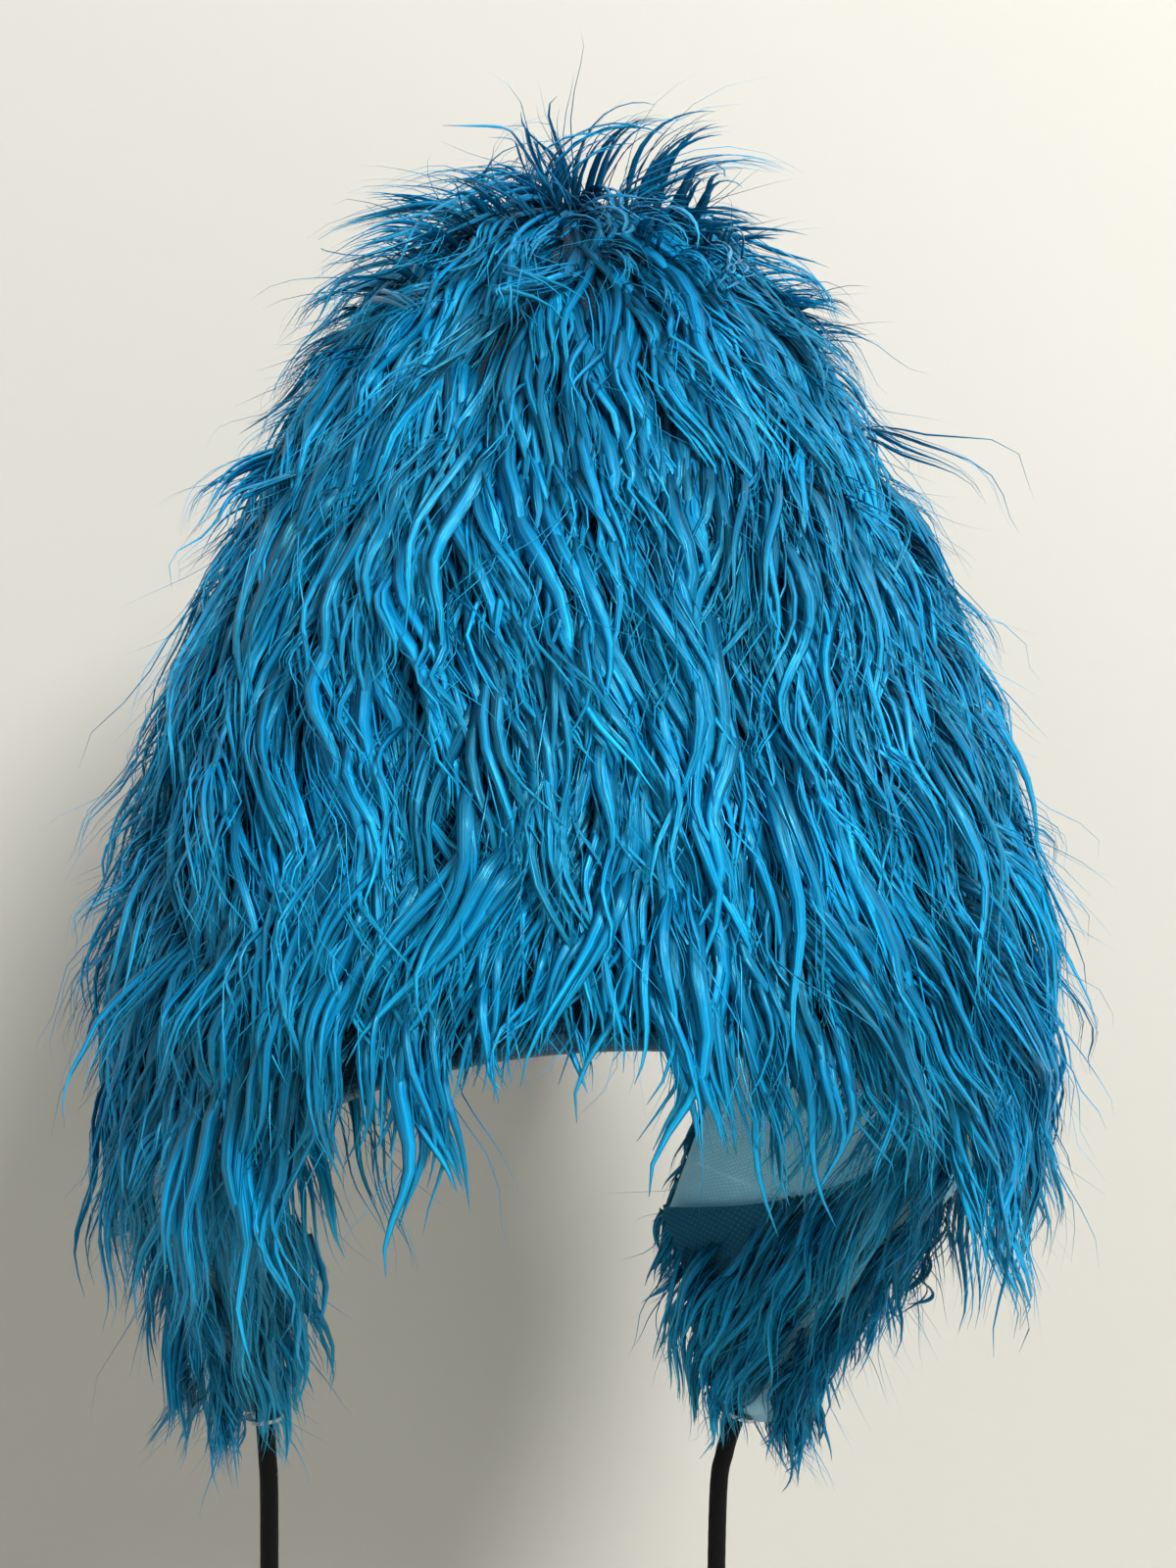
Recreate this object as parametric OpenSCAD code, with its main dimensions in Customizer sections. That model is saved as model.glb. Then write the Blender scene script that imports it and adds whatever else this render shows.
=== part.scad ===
// Hat puppet with a moving mouth: a long pile fur crown and ear flaps over padding and lining,
// and a jaw on a hinge pin that two cords open through the flap tips.
// The wearer looks along -Y, +Z is up, and the origin is the centre of the head opening.

/* [Crown] */
// Inside radius of the head opening
head_r = 95; // [90:1:100]
// Thickness of the lining
lining_t = 1; // [0.8:0.1:1.5]
// Thickness of the padding at the rim
foam_t = 8; // [7.5:0.5:10]
// How far the dense pile stands off the cloth at the rim
pile_t = 13; // [11:1:18]
// Height of the crown's cloth over the back hem
crown_h = 190; // [180:1:205]
// Pile on the crown's point
pile_top = 10; // [8:1:16]
// Height of the lining dome inside
lining_h = 158; // [150:1:165]
// How far the sides reach below the back hem
skirt_h = 12; // [11:0.5:15]
// Width of the arch cut in the back
arch_w = 124; // [110:1:126]
// Rise of the arch over the sides
arch_h = 15; // [13:1:16]
// Thickness of the hem bindings
hem_t = 1.5; // [1:0.1:2]
// Height of the sweatband over the back hem
band_h = 22; // [15:1:30]

/* [Ear flaps] */
// Length of the left flap below the fold
flap_len_left = 108; // [100:1:115]
// Length of the right flap below the fold
flap_len_right = 122; // [110:1:128]
// Front edge of the flaps, ahead of the ear line
flap_front = 78; // [74:1:79]
// Back end of the flaps, behind the ear line
flap_back = 82; // [78:1:84]
// How far the left flap leans inwards
lean_left = 4; // [2:1:5]
// How far the right flap leans inwards
lean_right = 20; // [18:1:22]
// Half width of the flap tips
tip_r = 14; // [12:1:15]
// Height of the lining's seam over the tip at the front edge
seam_rise = 40; // [34:1:46]
// Thickness of the fur facing inside the tips
facing_t = 9; // [6:1:11]
// How far the flap's pile is cut back from the fold
fold_bevel = 50; // [45:1:55]

/* [Muzzle] */
// Radius of the palate board in plan
palate_r = 52; // [50:1:54]
// Thickness of the palate board
palate_t = 3; // [2.5:0.5:4]
// Height of the muzzle padding over the palate
muzzle_h = 27; // [24:1:30]
// Pile on the muzzle
muzzle_pile = 11; // [9:1:12]
// Open gap between the mouth's two linings
mouth_gap = 10.5; // [10:0.5:12]
// Thickness of the felt in the mouth
felt_t = 1.5; // [1:0.1:2]
// Height of the teeth
tooth_h = 8; // [6:0.5:8.5]
// Width of the teeth
tooth_w = 13; // [10:1:15]
// Thickness of the plate that carries the muzzle
plate_t = 1.5; // [1:0.1:2]

/* [Jaw] */
// Radius of the jaw board in plan
jaw_r = 45; // [43:1:45]
// Thickness of the jaw board
jaw_t = 3; // [2.5:0.5:3.5]
// Depth of the chin padding
chin_h = 26; // [22:1:28]
// Pile on the chin
chin_pile = 11; // [9:1:12]
// Height of the tongue
tongue_t = 5; // [4:0.5:6]
// Width of the tongue
tongue_w = 30; // [26:1:34]
// Radius of the hinge pin
pin_r = 1.6; // [1.2:0.1:1.8]
// Running clearance of the jaw on the pin
pin_fit = 0.05; // [0.03:0.01:0.08]
// Outside radius of the knuckles
knuckle_r = 4; // [3.6:0.1:4.2]
// Length of the horns below the pin
horn_l = 20; // [18:1:21]

/* [Eyes and nose] */
// Radius of the eyes
eye_r = 16; // [13:1:17]
// Height of the eyes over the back hem
eye_z = 80; // [76:1:86]
// Angle between each eye and the middle of the face
eye_turn = 22; // [20:1:25]
// Radius of the nose
nose_r = 12; // [10:1:13]
// Radius of the shanks
shank_r = 2.5; // [2:0.1:3]
// Thickness of the washers behind the cloth
washer_t = 1.5; // [1:0.1:2]

/* [Cords] */
// Diameter of the pull cords
cord_d = 5; // [4:0.5:5]
// Clearance round the cord in its channel
cord_gap = 0.7; // [0.6:0.1:0.8]
// Radius of the end knots
knot_r = 7; // [6:0.5:8]

/* [Hidden] */
$fn = 96;

big = 400;
lining_r = head_r + lining_t;
cloth_r = lining_r + foam_t;
fur_r = cloth_r + pile_t;
fur_h = crown_h + pile_top;
// The arch in the back hem, as the cylinder that cuts it
arch_r = (pow(arch_w / 2, 2) + pow(arch_h, 2)) / (2 * arch_h);
arch_z = arch_h - skirt_h;
// The fold of each flap is a straight line along Y at the cloth's widest point
fold_gap = 0.3;
fold_spare = 5;
crown_bevel = fold_bevel + fold_spare;
flap_tip_y = 45;
// The cords run in the middle of the padding
run_r = lining_r + foam_t / 2;
run_z = -7;
channel_r = cord_d / 2 + cord_gap;
run_x = sqrt(pow(run_r, 2) - pow(flap_tip_y, 2));
run_turn = [27, 50];
tunnel_spare = 0.2;
eyelet_t = 1;
eyelet_l = 6;
// The mouth is round in plan about this point on the front of the cloth
mouth_y = -cloth_r;
pin_y = mouth_y - 8;
pin_z = 4;
jaw_top = 2;
jaw_felt_top = jaw_top + felt_t;
palate_felt_z = jaw_felt_top + mouth_gap;
palate_z = palate_felt_z + felt_t;
muzzle_z = palate_z + palate_t;
muzzle_skirt = 1;
chin_slope = 33;
board_gap = 5;
lug_x = 44;
lug_w = 6;
lug_low = 4;
lug_r = knuckle_r + 1;
lug_back = 22;
side_gap = 0.4;
knuckle_x = [28, lug_x - side_gap];
horn_x = lug_x + lug_w + side_gap;
horn_w = 4;
horn_r = 4;
horn_hole_r = cord_d / 2 + 0.2;
horn_z = pin_z - horn_l;
horn_y = pin_y - 2;
pin_l = 2 * (horn_x + horn_w) + 2;
wire_r = 0.6;
coil_r = 3.2;
coil_x = 18;
coil_turns = 5;
eye_sink = 4;
eye_body = 20;
washer_depth = 2.5;
knot_tail = 14;
cord_step = 12;
// The rim's eyelet points from the padding to just behind the horn
eyelet_in = [run_r * cos(run_turn[1]), -run_r * sin(run_turn[1]), run_z];
eyelet_out = [horn_x + horn_w + 5, pin_y + 2, horn_z + 1];
// Points of the hanging cords from inside the channel to the knot, each set in from the run
function hang(side, points) = [for (p = points) [side * (run_x - p[0]), p[1] - flap_tip_y, p[2]]];
hang_left = hang(1, [[0.2, 0, -14], [4.1, 0, -70], [7.7, 0, -121], [8.4, 0, -131],
                     [8.8, 0, -142], [8.8, -1, -190], [9.3, -1, -260], [9.3, -1, -330]]);
hang_right = hang(-1, [[1.7, 0, -14], [22, 0, -70], [41.7, 0, -124], [44.5, 0, -133],
                       [46.3, 0, -145], [46.8, -1, -190], [46.3, -1, -260], [46.3, -1, -335]]);
// Points of the cord inside the left of the hat, from the jaw's horn to the flap
function run_at(turn) = [run_r * cos(turn), -run_r * sin(turn), run_z];
run_left = [[horn_x, horn_y, horn_z], [horn_x + 5, horn_y, horn_z],
            [horn_x + 7.8, horn_y + 1.4, horn_z + 0.2], eyelet_out + [0, 0.5, 0],
            (eyelet_in + 2 * eyelet_out) / 3 + [0, 0.9, 0.1],
            (2 * eyelet_in + eyelet_out) / 3 + [0, 0.7, 0.1],
            eyelet_in + [0.5, -0.4, 0], run_at(42), run_at(34), run_at(29) - [0, 0, 0.4],
            [run_x, -flap_tip_y, run_z - 5]];
// The last two points, where the tunnel turns down into the flap
run_elbow = [run_left[9], run_left[10]];

// ---- shapes ----

// Crown profile: height to the power 1.1 and radius to the power 2.5 add up to one
bell_steps = 14;
function bell(r, h) = [for (i = [0:bell_steps]) let (a = 90 * i / bell_steps)
    [r * pow(cos(a), 0.8), h * pow(sin(a), 1.818)]];
function backwards(v) = [for (i = [len(v) - 1:-1:0]) v[i]];

module bell_shell(r1, h1, r2, h2) {
    rotate_extrude()
        polygon(concat([[r1, -skirt_h]], bell(r1, h1), backwards(bell(r2, h2)), [[r2, -skirt_h]]));
}

module bell_solid(r, h) {
    rotate_extrude()
        polygon(concat([[0, -skirt_h - 60], [r, -skirt_h - 60]], bell(r, h)));
}

// Round dome for the muzzle and the chin
dome_steps = 10;
function dome(r, h) = [for (i = [0:dome_steps]) let (a = 90 * i / dome_steps)
    [r * pow(cos(a), 0.8), h * pow(sin(a), 0.9)]];

module dome_solid(r, h, skirt) {
    rotate_extrude()
        polygon(concat([[0, -skirt], [r, -skirt]], dome(r, h)));
}

module arch(r) {
    translate([0, 0, arch_z - arch_r])
        rotate([-90, 0, 0])
            cylinder(r = r, h = big, $fn = 180);
}

module ring(r1, r2, z1, z2) {
    rotate_extrude()
        translate([r1, z1])
            square([r2 - r1, z2 - z1]);
}

// Turns the Z axis onto the line from p to q
module along(p, q) {
    d = q - p;
    translate(p)
        rotate([0, acos(d[2] / norm(d)), atan2(d[1], d[0])])
            children();
}

function unit(v) = v / norm(v);
function smooth(a, b, c, d, t) = 0.5 * (2 * b + (c - a) * t + (2 * a - 5 * b + 4 * c - d) * t * t
    + (3 * b - a - 3 * c + d) * t * t * t);
function clamp(i, n) = max(0, min(n - 1, i));

// Round tube along route points, with rings at a given spacing and one side vector kept
module tube(route, r, spacing, side, sides = 8) {
    n = len(route);
    path = [for (i = [0:n - 2]) let (m = ceil(norm(route[i + 1] - route[i]) / spacing))
        for (k = [0:m - 1]) smooth(route[clamp(i - 1, n)], route[i], route[i + 1],
                                   route[clamp(i + 2, n)], k / m)];
    full = concat(path, [route[n - 1]]);
    c = len(full);
    rings = [for (i = [0:c - 1]) let (
        t = unit(full[clamp(i + 1, c)] - full[clamp(i - 1, c)]),
        u = unit(cross(side, t)),
        v = cross(t, u))
        for (k = [0:sides - 1]) full[i] + r * (cos(360 * k / sides) * u + sin(360 * k / sides) * v)];
    walls = [for (i = [0:c - 2], k = [0:sides - 1]) let (j = (k + 1) % sides)
        [i * sides + k, (i + 1) * sides + k, (i + 1) * sides + j, i * sides + j]];
    ends = [[for (k = [0:sides - 1]) k],
            [for (k = [sides - 1:-1:0]) (c - 1) * sides + k]];
    polyhedron(concat(rings), concat(walls, ends), convexity = 6);
}

function flip(v) = [for (p = v) [-p[0], p[1], p[2]]];

// ---- openings and seats that neighbours share ----

// Where an eye sits, as a frame with Z out of the cloth
module eye_place(side) {
    a = asin(pow(min(1, eye_z / crown_h), 1 / 1.818));
    r = cloth_r * pow(cos(a), 0.8);
    rotate([0, 0, -90 + side * eye_turn])
        translate([r, 0, eye_z])
            rotate([0, 78, 0])
                children();
}

module nose_place() {
    translate([0, mouth_y - palate_r * 0.72, muzzle_z + muzzle_h * 0.66])
        rotate([34, 0, 0])
            children();
}

// Moulded button on a shank: the same form, a little larger, is its seat
module button(r, body, top) {
    rotate_extrude()
        polygon(concat([[0, -washer_depth - washer_t - 1.5], [shank_r, -washer_depth - washer_t - 1.5],
                        [shank_r, 0], [r, 0]],
                       [for (i = [0:8]) [r * cos(90 * i / 8), body + top * sin(90 * i / 8)]]));
}

module washer(r) {
    translate([0, 0, -washer_depth - washer_t])
        difference() {
            cylinder(r = r, h = washer_t);
            translate([0, 0, -1])
                cylinder(r = shank_r, h = washer_t + 2);
        }
}

module button_seat(r) {
    cylinder(r = r, h = 60);
    translate([0, 0, -washer_depth - washer_t - 1.5])
        cylinder(r = shank_r, h = washer_depth + washer_t + 2);
    translate([0, 0, -washer_depth - washer_t])
        cylinder(r = r * 0.55, h = washer_t);
}

module eye_seats() {
    for (side = [-1, 1])
        eye_place(side)
            translate([0, 0, -eye_sink])
                button_seat(eye_r);
}

// Tunnel of the cord through the padding at one side of the rim
module cord_tunnel(mirrored) {
    mirror([mirrored, 0, 0]) {
        rotate([0, 0, -run_turn[1] - 2])
            rotate_extrude(angle = run_turn[1] - run_turn[0] + 3)
                translate([run_r, run_z])
                    circle(r = channel_r, $fn = 32);
        translate([run_x, -flap_tip_y, -skirt_h - 5])
            cylinder(r = channel_r + tunnel_spare, h = run_z + skirt_h + 5, $fn = 32);
        along(run_elbow[0], run_elbow[1])
            cylinder(r = channel_r + tunnel_spare, h = norm(run_elbow[1] - run_elbow[0]), $fn = 32);
        along(eyelet_in, eyelet_out)
            translate([0, 0, -1])
                cylinder(r = channel_r + tunnel_spare, h = 4, $fn = 32);
    }
}
eyelet_end = eyelet_in + (2 * eyelet_l) * unit(eyelet_out - eyelet_in);

module eyelet_seat(mirrored) {
    mirror([mirrored, 0, 0])
        along(eyelet_in, eyelet_out)
            translate([0, 0, 2])
                cylinder(r = channel_r + eyelet_t, h = 60, $fn = 48);
}

// Fur of the muzzle, and the room below it that the jaw moves in
module mouth_window() {
    translate([0, mouth_y, muzzle_z])
        dome_solid(palate_r + muzzle_pile, muzzle_h + muzzle_pile, palate_t + felt_t + muzzle_skirt);
    translate([0, mouth_y, -skirt_h - 1])
        cylinder(r = palate_r + muzzle_pile, h = skirt_h + palate_felt_z);
}

// Keeps what lies over one fold from the flap's swing
module crown_notch(mirrored) {
    mirror([mirrored, 0, 0])
        translate([cloth_r, 0, -skirt_h])
            rotate([0, -crown_bevel, 0])
                translate([0, -big / 2, -big])
                    cube([big, big, big]);
}

// ---- crown ----

module lining() {
    color("paleturquoise")
        difference() {
            bell_shell(head_r, lining_h, lining_r, lining_h + lining_t);
            arch(arch_r);
        }
}

// The quarter of the crown towards one side in X and one in Y
module gore(x, y) {
    intersection() {
        children();
        translate([x > 0 ? 0 : -big, y > 0 ? 0 : -big, -big])
            cube([big, big, 2 * big]);
    }
}

module foam_gore(x, y) {
    color("ivory")
        difference() {
            gore(x, y)
                bell_shell(lining_r, lining_h + lining_t, cloth_r, crown_h);
            arch(arch_r);
            eye_seats();
            for (m = [0, 1]) {
                cord_tunnel(m);
                eyelet_seat(m);
            }
        }
}

module foam_back_left() foam_gore(1, 1);
module foam_back_right() foam_gore(-1, 1);
module foam_front_left() foam_gore(1, -1);
module foam_front_right() foam_gore(-1, -1);

module fur_gore(x, y) {
    color("deepskyblue")
        difference() {
            gore(x, y)
                bell_shell(cloth_r, crown_h, fur_r, fur_h);
            arch(arch_r);
            eye_seats();
            mouth_window();
            for (m = [0, 1]) {
                crown_notch(m);
                eyelet_seat(m);
            }
        }
}

module fur_back_left() fur_gore(1, 1);
module fur_back_right() fur_gore(-1, 1);
module fur_front_left() fur_gore(1, -1);
module fur_front_right() fur_gore(-1, -1);

module sweatband() {
    color("darkcyan")
        intersection() {
            difference() {
                bell_shell(head_r - lining_t, lining_h - lining_t, head_r, lining_h);
                arch(arch_r);
            }
            translate([-big / 2, -big / 2, -skirt_h])
                cube([big, big, skirt_h + band_h]);
        }
}

module back_hem() {
    color("teal")
        intersection() {
            ring(head_r, cloth_r, -skirt_h, crown_h / 4);
            difference() {
                arch(arch_r);
                arch(arch_r - hem_t);
            }
        }
}

module front_hem() {
    hem_x = min(sqrt(pow(head_r, 2) - pow(flap_front, 2)) - 2,
                eyelet_end[0] - channel_r - eyelet_t - 1);
    color("teal")
        intersection() {
            ring(head_r, cloth_r, -skirt_h - hem_t, -skirt_h);
            translate([-hem_x, -big / 2, -big / 2])
                cube([2 * hem_x, big / 2, big]);
        }
}

// ---- muzzle ----

module face_plate() {
    color("dimgray")
        difference() {
            union() {
                intersection() {
                    bell_shell(cloth_r, crown_h, cloth_r + plate_t, crown_h + plate_t);
                    translate([0, mouth_y, muzzle_z])
                        dome_solid(palate_r, muzzle_h, muzzle_z + lug_low);
                    translate([-big / 2, -big, -skirt_h])
                        cube([big, big, muzzle_z + muzzle_h + skirt_h - 8]);
                }
                for (x = [-lug_x - lug_w, lug_x])
                    difference() {
                        lug(x);
                        bell_solid(cloth_r, crown_h);
                    }
            }
            pin_bore(pin_r);
        }
}

// Ear that holds the pin: round ahead of it, so that the jaw's arms pass below as they turn
module lug(x) {
    translate([x, 0, 0])
        rotate([90, 0, 90])
            linear_extrude(lug_w)
                union() {
                    translate([pin_y, pin_z])
                        circle(r = lug_r);
                    translate([pin_y, -lug_low])
                        square([mouth_y - pin_y + lug_back, palate_felt_z + lug_low]);
                    translate([pin_y - lug_r, pin_z])
                        square([lug_r, palate_felt_z - pin_z]);
                }
}

module pin_bore(r) {
    translate([-big / 2, pin_y, pin_z])
        rotate([0, 90, 0])
            cylinder(r = r, h = big, $fn = 48);
}

module palate_board() {
    color("dimgray")
        difference() {
            translate([0, mouth_y, palate_z])
                cylinder(r = palate_r, h = palate_t);
            bell_solid(cloth_r + plate_t, crown_h + plate_t);
        }
}

module palate_lining() {
    color("firebrick")
        difference() {
            translate([0, mouth_y, palate_felt_z])
                cylinder(r = palate_r, h = felt_t);
            bell_solid(cloth_r + plate_t, crown_h + plate_t);
        }
}

module muzzle_foam() {
    color("ivory")
        difference() {
            translate([0, mouth_y, muzzle_z])
                dome_solid(palate_r, muzzle_h, 0);
            bell_solid(cloth_r, crown_h);
            face_plate_room();
            nose_place()
                button_seat(nose_r);
        }
}

// The plate's own solid behind the muzzle
module face_plate_room() {
    intersection() {
        bell_solid(cloth_r + plate_t, crown_h + plate_t);
        translate([-big / 2, -big, -skirt_h])
            cube([big, big, muzzle_z + muzzle_h + skirt_h - 8]);
    }
}

module muzzle_fur() {
    color("deepskyblue")
        difference() {
            translate([0, mouth_y, muzzle_z])
                dome_solid(palate_r + muzzle_pile, muzzle_h + muzzle_pile,
                           palate_t + felt_t + muzzle_skirt);
            translate([0, mouth_y, muzzle_z])
                dome_solid(palate_r, muzzle_h, palate_t + felt_t + 20);
            bell_solid(cloth_r, crown_h);
            nose_place()
                button_seat(nose_r);
        }
}

module tooth(x) {
    color("white")
        translate([x - tooth_w / 2, mouth_y - jaw_r + 1, palate_felt_z - tooth_h])
            intersection() {
                cube([tooth_w, felt_t * 2, tooth_h]);
                translate([tooth_w / 2, -1, tooth_w / 2])
                    rotate([-90, 0, 0])
                        linear_extrude(20)
                            union() {
                                circle(r = tooth_w / 2);
                                translate([-tooth_w / 2, -big])
                                    square([tooth_w, big]);
                            }
            }
}
module tooth_left() tooth(tooth_w * 1.2);
module tooth_right() tooth(-tooth_w * 1.2);

module nose() {
    color("orangered")
        nose_place()
            button(nose_r, 11, 9);
}

module nose_washer() {
    color("white")
        nose_place()
            washer(nose_r * 0.55);
}

module eye(side) {
    color("gold")
        eye_place(side)
            translate([0, 0, -eye_sink])
                button(eye_r, eye_body, 9);
}
module eye_left() eye(1);
module eye_right() eye(-1);

module eye_washer(side) {
    color("white")
        eye_place(side)
            translate([0, 0, -eye_sink])
                washer(eye_r * 0.55);
}
module eye_washer_left() eye_washer(1);
module eye_washer_right() eye_washer(-1);

module hinge_pin() {
    color("silver")
        translate([-pin_l / 2, pin_y, pin_z])
            rotate([0, 90, 0])
                cylinder(r = pin_r, h = pin_l, $fn = 48);
}

// Coil round the pin, one leg under the palate and one on the jaw's felt
module jaw_spring() {
    steps = 12;
    last = coil_turns * steps - steps / 4;
    coil = [for (i = [0:last]) let (a = 180 + 360 * i / steps)
        [coil_x + i / steps * wire_r * 2.2, pin_y + coil_r * cos(a), pin_z + coil_r * sin(a)]];
    fixed_end = [coil_x, pin_y - coil_r, palate_felt_z];
    jaw_end = [coil[last][0], pin_y - 14, jaw_felt_top + wire_r];
    color("silver")
        tube(concat([fixed_end], coil, [jaw_end]), wire_r, 30, [1, 0, 0], 6);
}

module rim_eyelet(mirrored) {
    color("silver")
        mirror([mirrored, 0, 0])
            along(eyelet_in, eyelet_out)
                translate([0, 0, 2])
                    difference() {
                        cylinder(r = channel_r + eyelet_t, h = eyelet_l + 4, $fn = 48);
                        translate([0, 0, -1])
                            cylinder(r = channel_r, h = eyelet_l + 6, $fn = 48);
                    }
}
module rim_eyelet_left() rim_eyelet(0);
module rim_eyelet_right() rim_eyelet(1);

module inner_cord_left() {
    color("black")
        tube(run_left, cord_d / 2, 8, unit([0.8, -0.6, 0]));
}
module inner_cord_right() {
    color("black")
        tube(flip(run_left), cord_d / 2, 8, unit([-0.8, -0.6, 0]));
}

// ---- jaw ----

module jaw_round(r, z, h) {
    difference() {
        translate([0, mouth_y, z])
            cylinder(r = r, h = h);
        translate([-big / 2, pin_y - board_gap, -big / 2])
            cube([big, big, big]);
    }
}

module jaw_board() {
    color("dimgray")
        difference() {
            union() {
                jaw_round(jaw_r, jaw_top - jaw_t, jaw_t);
                for (m = [0, 1])
                    mirror([m, 0, 0]) {
                        translate([knuckle_x[0], pin_y, pin_z])
                            rotate([0, 90, 0])
                                cylinder(r = knuckle_r, h = knuckle_x[1] - knuckle_x[0], $fn = 64);
                        translate([knuckle_x[0], pin_y - board_gap - 1, jaw_top - jaw_t])
                            cube([knuckle_x[1] - knuckle_x[0], board_gap + 1, jaw_t]);
                        horn();
                    }
            }
            pin_bore(pin_r + pin_fit);
            for (m = [0, 1])
                mirror([m, 0, 0])
                    translate([horn_x - 1, horn_y, horn_z])
                        rotate([0, 90, 0])
                            cylinder(r = horn_hole_r, h = horn_w + 2, $fn = 48);
        }
}

// Lever outside each lug: an arm ahead of the lug joins it to the board
module horn() {
    arm_y = pin_y - knuckle_r - 1 - side_gap - 6;
    translate([horn_x, 0, 0])
        rotate([90, 0, 90])
            linear_extrude(horn_w)
                union() {
                    translate([pin_y, pin_z])
                        circle(r = knuckle_r);
                    translate([horn_y, horn_z])
                        circle(r = horn_r);
                    polygon([[pin_y - knuckle_r, pin_z], [pin_y + knuckle_r, pin_z],
                             [horn_y + horn_r, horn_z], [horn_y - horn_r, horn_z]]);
                    translate([arm_y, jaw_top - jaw_t])
                        square([pin_y - arm_y, jaw_t]);
                }
    translate([jaw_r - 20, arm_y, jaw_top - jaw_t])
        cube([horn_x + horn_w - jaw_r + 20, 6, jaw_t]);
}

module jaw_lining() {
    color("firebrick")
        jaw_round(jaw_r, jaw_top, felt_t);
}

module tongue() {
    back = pin_y - board_gap - 4;
    front = mouth_y - jaw_r + 6 + tongue_w / 2;
    color("lightcoral")
        translate([0, 0, jaw_felt_top])
            linear_extrude(tongue_t)
                intersection() {
                    union() {
                        translate([0, front])
                            circle(r = tongue_w / 2);
                        translate([-tongue_w / 2, front])
                            square([tongue_w, back - front]);
                    }
                    translate([-tongue_w / 2, back - big])
                        square([tongue_w, big]);
                }
}

// Cuts the chin away behind a slope, so that it clears the forehead when the mouth is open
module chin_slope_cut() {
    translate([0, pin_y + 2 - board_gap, jaw_top - jaw_t])
        rotate([-chin_slope, 0, 0])
            translate([-big / 2, 0, -big / 2])
                cube([big, big, big]);
}

// The arms of the horns, with a little room
module horn_room() {
    for (m = [0, 1])
        mirror([m, 0, 0])
            translate([jaw_r - 20, pin_y - knuckle_r - 7 - side_gap, -lug_low - 1])
                cube([40, 30, lug_low + jaw_felt_top + 2]);
}

module chin_foam() {
    color("ivory")
        difference() {
            translate([0, mouth_y, jaw_top - jaw_t])
                mirror([0, 0, 1])
                    dome_solid(jaw_r, chin_h, 0);
            chin_slope_cut();
        }
}

module chin_fur() {
    color("deepskyblue")
        difference() {
            translate([0, mouth_y, jaw_top - jaw_t])
                mirror([0, 0, 1])
                    dome_solid(jaw_r + chin_pile, chin_h + chin_pile, jaw_t + felt_t);
            translate([0, mouth_y, jaw_top - jaw_t])
                mirror([0, 0, 1])
                    dome_solid(jaw_r, chin_h, jaw_t + felt_t + 1);
            chin_slope_cut();
            horn_room();
        }
}

// ---- ear flaps ----

function bezier(a, b, c, t) = (1 - t) * (1 - t) * a + 2 * t * (1 - t) * b + t * t * c;

// Flap seen from its side: Y across, Z up; straight front, round tip, hollow back edge
module flap_outline(length) {
    tip = [-flap_tip_y, -skirt_h - length + tip_r];
    polygon(concat(
        [[-flap_front, 40], [-flap_front, tip[1] + 25]],
        [for (i = [0:12]) let (a = 205 + i * 11) tip + tip_r * [cos(a), sin(a)]],
        [for (i = [0:8]) bezier([-flap_tip_y + tip_r + 2, tip[1] + 12], [-4, -skirt_h - length * 0.36],
                                [flap_back, -skirt_h], i / 8)],
        [[flap_back, 40]]));
}

// One layer of a flap between two radii, hanging at its lean and cut off level at the fold
module flap_layer(r1, r2, length, lean) {
    difference() {
        flap_place(lean)
            intersection() {
                ring(r1, r2, -skirt_h - length - 5, 30);
                translate([10, 0, 0])
                    rotate([90, 0, 90])
                        linear_extrude(big / 2)
                            flap_outline(length);
            }
        translate([-big / 2, -big / 2, -skirt_h - fold_gap])
            cube([big, big, big / 2]);
    }
}

module flap_place(lean) {
    translate([cloth_r, 0, -skirt_h])
        rotate([0, lean, 0])
            translate([-cloth_r, 0, skirt_h])
                children();
}

// Room for the cord and for the eyelet in the tip
module flap_channel(length, lean) {
    flap_place(lean)
        translate([run_x, -flap_tip_y, 0]) {
            translate([0, 0, -big])
                cylinder(r = channel_r, h = big + 30, $fn = 32);
        }
}

module flap_fur(length, lean) {
    color("deepskyblue")
        difference() {
            flap_layer(cloth_r, fur_r, length, lean);
            translate([cloth_r, 0, -skirt_h])
                rotate([0, fold_bevel, 0])
                    translate([0, -big / 2, 0])
                        cube([big, big, big]);
        }
}

module flap_foam(length, lean) {
    color("ivory")
        difference() {
            flap_layer(lining_r, cloth_r, length, lean);
            flap_channel(length, lean);
        }
}

// Below a seam that rises towards the back the inside is faced with fur
module below_seam(length, lean) {
    flap_place(lean)
        translate([0, -flap_front, -skirt_h - length + seam_rise])
            rotate([32, 0, 0])
                translate([-big / 2, -big / 2, -big])
                    cube([big, big, big]);
}

module flap_lining(length, lean) {
    color("paleturquoise")
        difference() {
            flap_layer(head_r, lining_r, length, lean);
            below_seam(length, lean);
        }
}

module flap_facing(length, lean) {
    color("deepskyblue")
        intersection() {
            flap_layer(lining_r - facing_t, lining_r, length, lean);
            below_seam(length, lean);
        }
}

module tip_eyelet(length, lean) {
    color("silver")
        flap_place(lean)
            translate([run_x, -flap_tip_y, -skirt_h - length - eyelet_t])
                difference() {
                    cylinder(r = channel_r + 2 * eyelet_t, h = eyelet_t, $fn = 48);
                    translate([0, 0, -1])
                        cylinder(r = channel_r, h = eyelet_t + 2, $fn = 48);
                }
}

module right() mirror([1, 0, 0]) children();

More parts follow.
